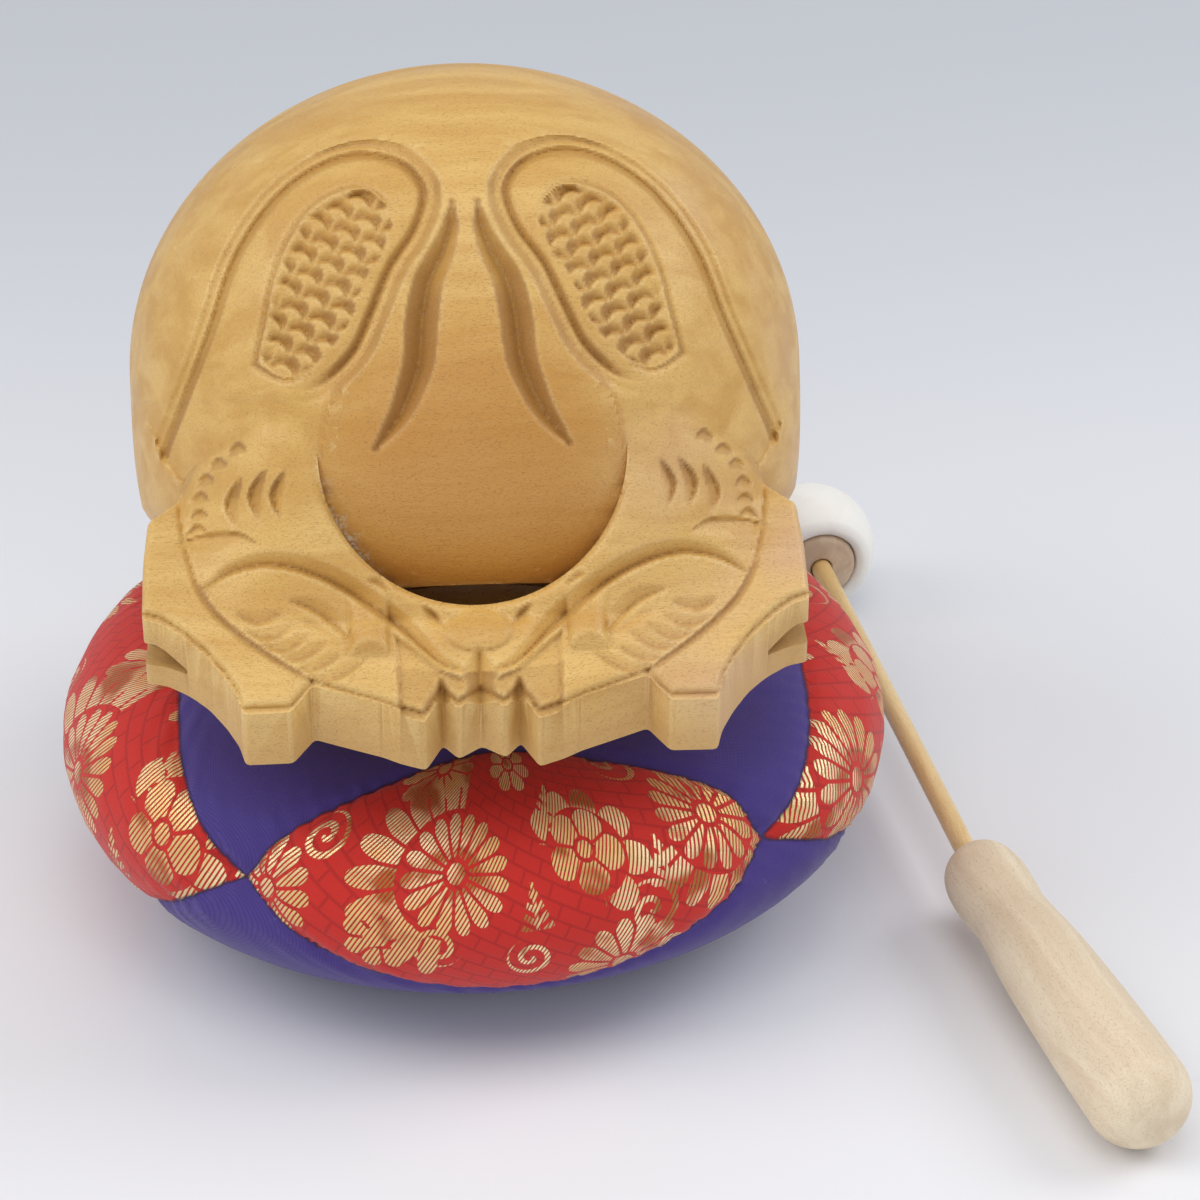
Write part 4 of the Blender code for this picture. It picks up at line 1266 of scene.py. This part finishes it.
@dataclass
class Cushion:
    """The stuffed cushion: four brocade caps and two four-pointed stars. Lengths in millimetres."""

    reach: float = 88.0
    front: float = 81.0
    height: float = 57.2
    waist: float = 34.5
    caps: Tuple[Cap, ...] = (Cap(-86.0, 41.0, 42.5, 29.0, (0.72, 0.5)), Cap(1.5, 46.5, 25.5, 27.0, (1.0, 1.0)),
                             Cap(94.0, 46.0, 30.0, 30.0, (1.0, 1.0)), Cap(186.5, 46.5, 31.0, 38.0, (1.0, 1.0)))
    junction: float = 6.5
    round_the_waist: float = 78.0
    pinch: float = 3.2
    pinch_reach: float = 9.0
    seam_depth: float = 1.5
    pucker: float = 0.55
    fold: float = 32.4
    cloth_level: float = 30.0
    cloth_curve: Pair = (50.0, 46.0)
    shifts: Tuple[Pair, ...] = ((0.0, -12.0), (23.0, -1.6), (-52.0, 0.0), (-27.0, -2.5))
    voxel: float = 5.0
    slack: float = 1.5
    foot: float = 30.0
    top: float = 50.0
    pressure: float = 4.0
    stiffness: float = 40.0
    frames: int = 20
    most_move: float = 4.0
    seat: float = 57.0
    seat_radius: float = 36.0
    rim_rise: float = 3.0

    def reach_at(self, points: Array) -> Array:
        """How far the waist reaches on each point's bearing: less at the front."""
        out = np.maximum(np.hypot(points[:, 0], points[:, 1]), 1e-9)
        ahead = np.where(points[:, 1] < 0, (points[:, 1] / out) ** 2, 0.0)
        return self.reach - (self.reach - self.front) * ahead

    def blank(self) -> Obj:
        """The cushion before it is stuffed, a little small."""
        deselect()
        bpy.ops.mesh.primitive_uv_sphere_add(segments=96, ring_count=48, radius=1.0)
        blank = named("stuffed_cushion")
        ball = places(blank)
        out = np.hypot(ball[:, 0], ball[:, 1])
        reach = self.reach_at(ball) - self.slack
        foot, top = self.foot / self.reach, self.top / self.reach
        below = ball[:, 2] < 0
        flat = np.where(below, foot, top)
        share = out ** np.where(below, 1.0, 0.85)
        radius = np.where(out > 0.02, flat * np.minimum(1.0, out / 0.12) + (1 - flat) * share, out * 3.0)
        level = np.where(below, self.waist * (1 + ball[:, 2]),
                         self.waist + (self.height - 0.8 - self.waist) * ball[:, 2])
        turn = reach * np.minimum(radius, 1.0) / np.maximum(out, 1e-9)
        move_to(blank, np.stack((ball[:, 0] * turn, ball[:, 1] * turn, level), 1) * MM)
        return blank

    def stuff(self, blank: Obj) -> None:
        """Blows the blank up as cloth, and keeps each point near its place."""
        step = blank.modifiers.new("even", "REMESH")
        step.mode = "VOXEL"
        step.voxel_size = self.voxel * MM
        apply_modifiers(blank)
        before = places(blank)
        cloth = blank.modifiers.new("cloth", "CLOTH")
        cloth.settings.use_pressure = True
        cloth.settings.uniform_pressure_force = self.pressure
        cloth.settings.effector_weights.gravity = 0.0
        cloth.settings.quality = 6
        cloth.settings.tension_stiffness = cloth.settings.compression_stiffness = self.stiffness
        cloth.point_cache.frame_start = 1
        cloth.point_cache.frame_end = self.frames
        for number in range(1, self.frames + 1):
            bpy.context.scene.frame_set(number)
        apply_modifiers(blank)
        bpy.context.scene.frame_set(1)
        after = places(blank)
        move = after - before
        far = np.linalg.norm(move, axis=1, keepdims=True)
        after = before + move * np.minimum(1.0, self.most_move * MM / np.maximum(far, 1e-9))
        move_to(blank, after)
        smooth = blank.modifiers.new("fine", "SUBSURF")
        smooth.levels = smooth.render_levels = 2
        apply_modifiers(blank)

    def up_the_cloth(self, points: Array) -> Array:
        """How far up the cloth from the waist each point is, in millimetres."""
        turns = [math.pi / 2 * i / 24 for i in range(25)]
        under = [(self.foot + (self.reach - self.foot) * math.sin(t), self.waist * (1 - math.cos(t))) for t in turns]
        over = [(52.0 + (self.reach - 52.0) * math.cos(t) ** 0.85, self.waist + (self.height - self.waist)
                 * math.sin(t)) for t in turns]
        side = [(0.0, 0.0)] + under + over[1:] + [(0.0, self.height)]
        lengths = [math.dist(a, b) for a, b in zip(side[:-1], side[1:])]
        flat = np.hypot(points[:, 0], points[:, 1]) * self.reach / self.reach_at(points)
        return along(flat, points[:, 2], side)[1] * sum(lengths) - sum(lengths[:25])

    def cap_depth(self, points: Array) -> Tuple[Array, Array]:
        """How far each point is inside its nearest cap's seam, and that cap's number."""
        best, number = np.full(len(points), -1e9), np.zeros(len(points), int)
        bearing = np.degrees(np.arctan2(points[:, 1], points[:, 0]))
        rise = self.up_the_cloth(points)
        for i, cap in enumerate(self.caps):
            across = np.radians((bearing - cap.middle + 180.0) % 360.0 - 180.0) * self.round_the_waist
            depth = inside(across, rise, cap.seam(self.junction, self.round_the_waist))
            number = np.where(depth > best, i, number)
            best = np.maximum(best, depth)
        return best, number

    def sew(self, cushion: Obj) -> None:
        """Draws in the junctions and the seams, and presses the seat and the foot."""
        points = places(cushion) / MM
        bearing = np.degrees(np.arctan2(points[:, 1], points[:, 0]))
        flat = np.hypot(points[:, 0], points[:, 1])
        rise = self.up_the_cloth(points)
        drawn = np.zeros(len(points))
        for cap in self.caps:
            off = np.radians((bearing - cap.middle - cap.half + 180.0) % 360.0 - 180.0) * self.round_the_waist
            drawn += self.pinch * np.exp(-(off ** 2 + (rise - self.junction) ** 2) / self.pinch_reach ** 2)
        depth, _ = self.cap_depth(points)
        seam = np.exp(-np.abs(depth) / 1.7)
        around = bearing * 1.4 + rise * 0.9
        pucker = np.sin(around * 0.9) * 0.35 + np.sin(around * 2.3 + 1.7) * 0.2
        ease = np.exp(-(depth / 6.5) ** 2)
        points = points - normals(cushion) * (drawn + self.seam_depth * seam + self.pucker * ease * pucker)[:, None]
        top = self.seat + self.rim_rise * soft_step((flat - self.seat_radius) / 16.0)
        z = points[:, 2]
        z = np.where(z > top - 1.5, top - 1.5 + 1.5 * np.tanh((z - top + 1.5) / 1.5 * 0.8), z)
        points[:, 2] = np.where(z < 1.2, 1.2 * np.exp((z - 1.2) / 1.2), z)
        move_to(cushion, points * MM)

    def lay_out(self, cushion: Obj) -> None:
        """Lays the cloth's own coordinates on each cap, in metres of cloth, and keeps the caps' depth."""
        points = places(cushion) / MM
        depth, number = self.cap_depth(points)
        write_mask(cushion, "cap", depth)
        mesh = cushion.data
        corners = np.empty(len(mesh.loops), np.int32)
        mesh.loops.foreach_get("vertex_index", corners)
        sizes = np.empty(len(mesh.polygons), np.int32)
        mesh.polygons.foreach_get("loop_total", sizes)
        starts = np.concatenate(([0], np.cumsum(sizes)[:-1]))
        cap_of_loop = np.repeat(number[corners[starts]], sizes)
        angles = np.radians(np.array([cap.middle for cap in self.caps]))[cap_of_loop]
        at = points[corners]
        out = at[:, 0] * np.cos(angles) + at[:, 1] * np.sin(angles) - self.fold
        beside = at[:, 1] * np.cos(angles) - at[:, 0] * np.sin(angles)
        rise = at[:, 2] - self.cloth_level
        u = np.arctan2(beside, out) * self.cloth_curve[0]
        v = np.arctan2(rise, np.hypot(beside, out)) * self.cloth_curve[1]
        shift = np.array(self.shifts)[cap_of_loop]
        layer = mesh.uv_layers.new(name="cloth")
        layer.data.foreach_set("uv", (np.stack((u, v), 1) + shift).ravel() * MM)

    def build(self, fabric: Look) -> Obj:
        """Models and dresses the cushion.

        Args:
            fabric: The brocade and twill.

        Returns:
            The finished piece.
        """
        cushion = self.blank()
        self.stuff(cushion)
        self.sew(cushion)
        self.lay_out(cushion)
        dress(cushion, fabric)
        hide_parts("cushion")
        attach(cushion, ROOT)
        return cushion


# ------------------------------------------------------------------ the striker

@dataclass
class Striker:
    """The striker, which lies beside the cushion. Lengths in millimetres along its own axis."""

    head: float = 15.2
    core: float = 8.5
    core_length: float = 15.0
    proud: float = 2.2
    flat: float = 8.0
    rod: float = 2.3
    socket: float = 11.0
    grip: float = 10.4
    grip_length: float = 87.0
    reach: float = 126.5
    bearing: float = math.radians(8.9)
    grip_turn: float = math.radians(6.4)
    standoff: float = 8.3
    cushion: float = 88.0
    along: float = 81.9
    gap: float = 0.3
    segments: int = 96

    def stand(self) -> Matrix:
        """Where the striker's axis lies: it dips from the head to the thinner grip."""
        ahead = Vector((math.sin(self.bearing), -math.cos(self.bearing), 0.0))
        aside = Vector((math.cos(self.bearing), math.sin(self.bearing), 0.0)) * (self.cushion + self.standoff)
        middle = aside - ahead * self.along
        dip = math.asin((self.head - self.grip - self.gap) / (self.reach + self.grip_length * 0.86))
        place = Matrix.Translation(Vector((middle.x, middle.y, self.head)) * MM)
        return place @ Matrix.Rotation(self.bearing - math.pi / 2, 4, "Z") @ Matrix.Rotation(dip, 4, "Y")

    def finish(self, piece: Obj, place: Matrix, node: str, look: Look) -> None:
        """Lays a piece in its place, dresses it, hides the CAD part it takes the place of, and hangs it under the
        root.

        Args:
            piece: The turned piece, along +X.
            place: Its place in the model.
            node: The CAD node that it stands for.
            look: Its material.
        """
        piece.data.transform(place)
        dress(piece, look, 40.0)
        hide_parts(node)
        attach(piece, ROOT)

    def arc(self, middle: float, radius_x: float, radius_r: float, start: float, end: float, steps: int) -> list:
        """Points of an elliptic arc of a profile, in degrees from the axis."""
        turns = [math.radians(start + (end - start) * i / steps) for i in range(steps + 1)]
        return [(middle - radius_x * math.cos(t), radius_r * math.sin(t)) for t in turns]

    def build(self, looks: dict) -> list:
        """Models and dresses the four pieces.

        Args:
            looks: The material of each slot.

        Returns:
            The finished pieces.
        """
        stand = self.stand()
        bore, socket = self.core + self.gap, self.rod + self.gap
        flat_r = math.sqrt(self.head ** 2 - self.flat ** 2)
        opening = math.degrees(math.atan2(flat_r, -self.flat))
        core_end = self.flat + self.proud
        core_start = core_end - self.core_length
        cap = self.arc(0.0, self.head, self.head, 0.0, opening + 6.0, 44)
        cap += [(self.flat + 1.95, flat_r - 2.3), (self.flat + 2.0, flat_r - 2.9), (self.flat + 1.7, bore + 0.5),
                (self.flat + 1.1, bore), (core_start - self.gap, bore), (core_start - self.gap, 0.0)]
        head = turned("head_cap", cap, self.segments)
        self.finish(head, stand, "striker_head", looks["head_cap"])
        bottom = core_end - self.socket
        plug = [(core_start, 0.0), (core_start, self.core)]
        plug += [(core_end - back, self.core - in_by)
                 for back, in_by in ((1.6, 0.0), (1.0, 0.1), (0.45, 0.42), (0.1, 1.0), (0.0, 1.6))]
        plug += [(core_end, socket + 0.3), (core_end - 0.3, socket), (bottom, socket), (bottom, 0.0)]
        core = turned("core_plug", plug, self.segments)
        self.finish(core, stand, "striker_core", looks["core_wood"])
        start, end = bottom + self.gap, self.reach + self.socket
        rings = 24
        line = [(start, 0.0), (start, self.rod)]
        line += [(start + (end - start) * i / rings, self.rod) for i in range(1, rings)]
        rod = turned("rod", line + [(end, self.rod), (end, 0.0)], 48)
        self.finish(rod, stand, "striker_shaft", looks["shaft_wood"])
        deep = self.socket + self.gap
        dome = self.grip_length - self.grip * 0.95
        swell = smoothed([(0.15, 4.6), (1.2, 6.3), (4.0, 7.8), (9.0, 8.55), (14.5, 8.35), (20.0, 7.92), (26.0, 8.4),
                          (36.0, 9.3), (52.0, 9.95), (66.0, 10.3), (dome, self.grip)], 5)
        shape = [(deep, 0.0), (deep, socket), (0.5, socket), (0.1, socket + 0.4), (0.0, 3.4)] + swell
        shape += self.arc(dome, self.grip * 0.95, self.grip, 90.0, 180.0, 20)[1:]
        grip = turned("grip", shape, self.segments)
        askew = stand @ Matrix.Translation((self.reach * MM, 0.0, 0.0)) @ Matrix.Rotation(self.grip_turn, 4, "Z")
        self.finish(grip, askew, "striker_handle", looks["handle_wood"])
        return [head, core, rod, grip]


# ------------------------------------------------------------------ the studio

@dataclass
class Studio:
    """The floor, the lamps and the camera. Lengths in millimetres."""

    camera_at: Triple = (-10.0, -594.2, 427.4)
    down: float = 31.6
    aside: float = 3.5
    lens: float = 101.4
    floor_colour: Colour = (0.82, 0.82, 0.845)
    # Painted shade: the far floor, where less light falls.
    far_shade: Colour = (0.58, 0.60, 0.64)
    lamps: Tuple[Tuple[str, Triple, float, float, Colour], ...] = (
        ("left_box", (-900.0, -100.0, 900.0), 700.0, 4.8, (1.0, 0.985, 0.96)),
        ("right_box", (950.0, 150.0, 800.0), 600.0, 4.4, (0.97, 0.98, 1.0)),
        ("top_box", (0.0, -250.0, 1300.0), 900.0, 4.0, (1.0, 1.0, 1.0)),
        ("front_box", (-150.0, -1100.0, 420.0), 900.0, 1.8, (1.0, 0.99, 0.98)))
    sky: Colour = (0.94, 0.96, 1.0)
    sky_strength: float = 0.54

    def camera(self) -> None:
        """Puts the camera where the photograph was taken from."""
        data = bpy.data.cameras.new("camera")
        data.lens = self.lens
        data.sensor_width = data.sensor_height = 36.0
        data.clip_end = 20.0
        camera = bpy.data.objects.new("camera", data)
        bpy.context.scene.collection.objects.link(camera)
        camera.location = [c * MM for c in self.camera_at]
        camera.rotation_euler = (math.radians(90.0 - self.down), 0.0, math.radians(-self.aside))
        bpy.context.scene.camera = camera

    def floor(self) -> None:
        """Lays the plain pale floor, darkened towards the back as painted shade."""
        deselect()
        bpy.ops.mesh.primitive_plane_add(size=6.0, location=(0.0, 0.0, -0.0002))
        floor = named("floor")
        made, g, shader = material("pale_floor", 0.62, Specular_IOR_Level=0.25)
        away = g.split(in_mm(g))[1]
        # Painted shade: the floor darkens away from the camera.
        g.drive(shader, Base_Color=g.mix(g.ramp(away, -160.0, 460.0), self.floor_colour, self.far_shade))
        floor.data.materials.append(made)

    def lamp(self, name: str, at: Triple, size: float, power: float, colour: Colour) -> None:
        """Hangs one soft box that faces the set.

        Args:
            name: The lamp's name.
            at: Its place, in millimetres.
            size: The side of the box, in millimetres.
            power: Its power in watts.
            colour: Its colour.
        """
        data = bpy.data.lights.new(name, "AREA")
        data.shape = "SQUARE"
        data.size = size * MM
        data.energy = power
        data.color = colour
        lamp = bpy.data.objects.new(name, data)
        bpy.context.scene.collection.objects.link(lamp)
        lamp.location = [c * MM for c in at]
        aim = Vector((0.0, 0.0, 0.06)) - lamp.location
        lamp.rotation_euler = aim.to_track_quat("-Z", "Y").to_euler()

    def build(self) -> None:
        """Sets up the whole studio."""
        self.camera()
        self.floor()
        for lamp in self.lamps:
            self.lamp(*lamp)
        bpy.context.scene.view_settings.view_transform = "Standard"
        world = bpy.data.worlds.new("world")
        bpy.context.scene.world = world
        world.use_nodes = True
        sky = world.node_tree.nodes["Background"]
        sky.inputs["Color"].default_value = (*self.sky, 1.0)
        sky.inputs["Strength"].default_value = self.sky_strength


def main() -> None:
    """Builds the studio and every piece, and reports each."""
    logging.basicConfig(level=logging.INFO, format="%(message)s")
    Studio().build()
    grain, twill = wood_grain_group(), twill_group()
    shapes = {Motif.FLOWER: rosette_group(), Motif.TENDRIL: tendril_group(), Motif.SPRIG: sprig_group()}
    striker = Striker()
    turn = striker.bearing - math.pi / 2
    looks = {
        "head_cap": SoftCap().build(),
        "core_wood": TurnedWood("core_wood", (0.70, 0.54, 0.39), (0.58, 0.42, 0.28), 0.55, 0.0).build(grain, turn),
        "shaft_wood": TurnedWood("shaft_wood", (0.86, 0.64, 0.33), (0.70, 0.46, 0.18), 0.4, 0.25).build(grain, turn),
        "handle_wood": TurnedWood("handle_wood", (0.88, 0.76, 0.56), (0.74, 0.59, 0.41), 0.52, 0.05, 1.0,
                                  0.7).build(grain, turn + striker.grip_turn),
    }
    pieces = [CarvedFish().build(CarvedWood().build(grain))]
    pieces.append(Cushion().build(BrocadeAndTwill().build(twill, shapes)))
    pieces += striker.build(looks)
    for piece in pieces:
        LOG.info("%s: %d faces", piece.name, len(piece.data.polygons))


if __name__ == "__main__":
    main()
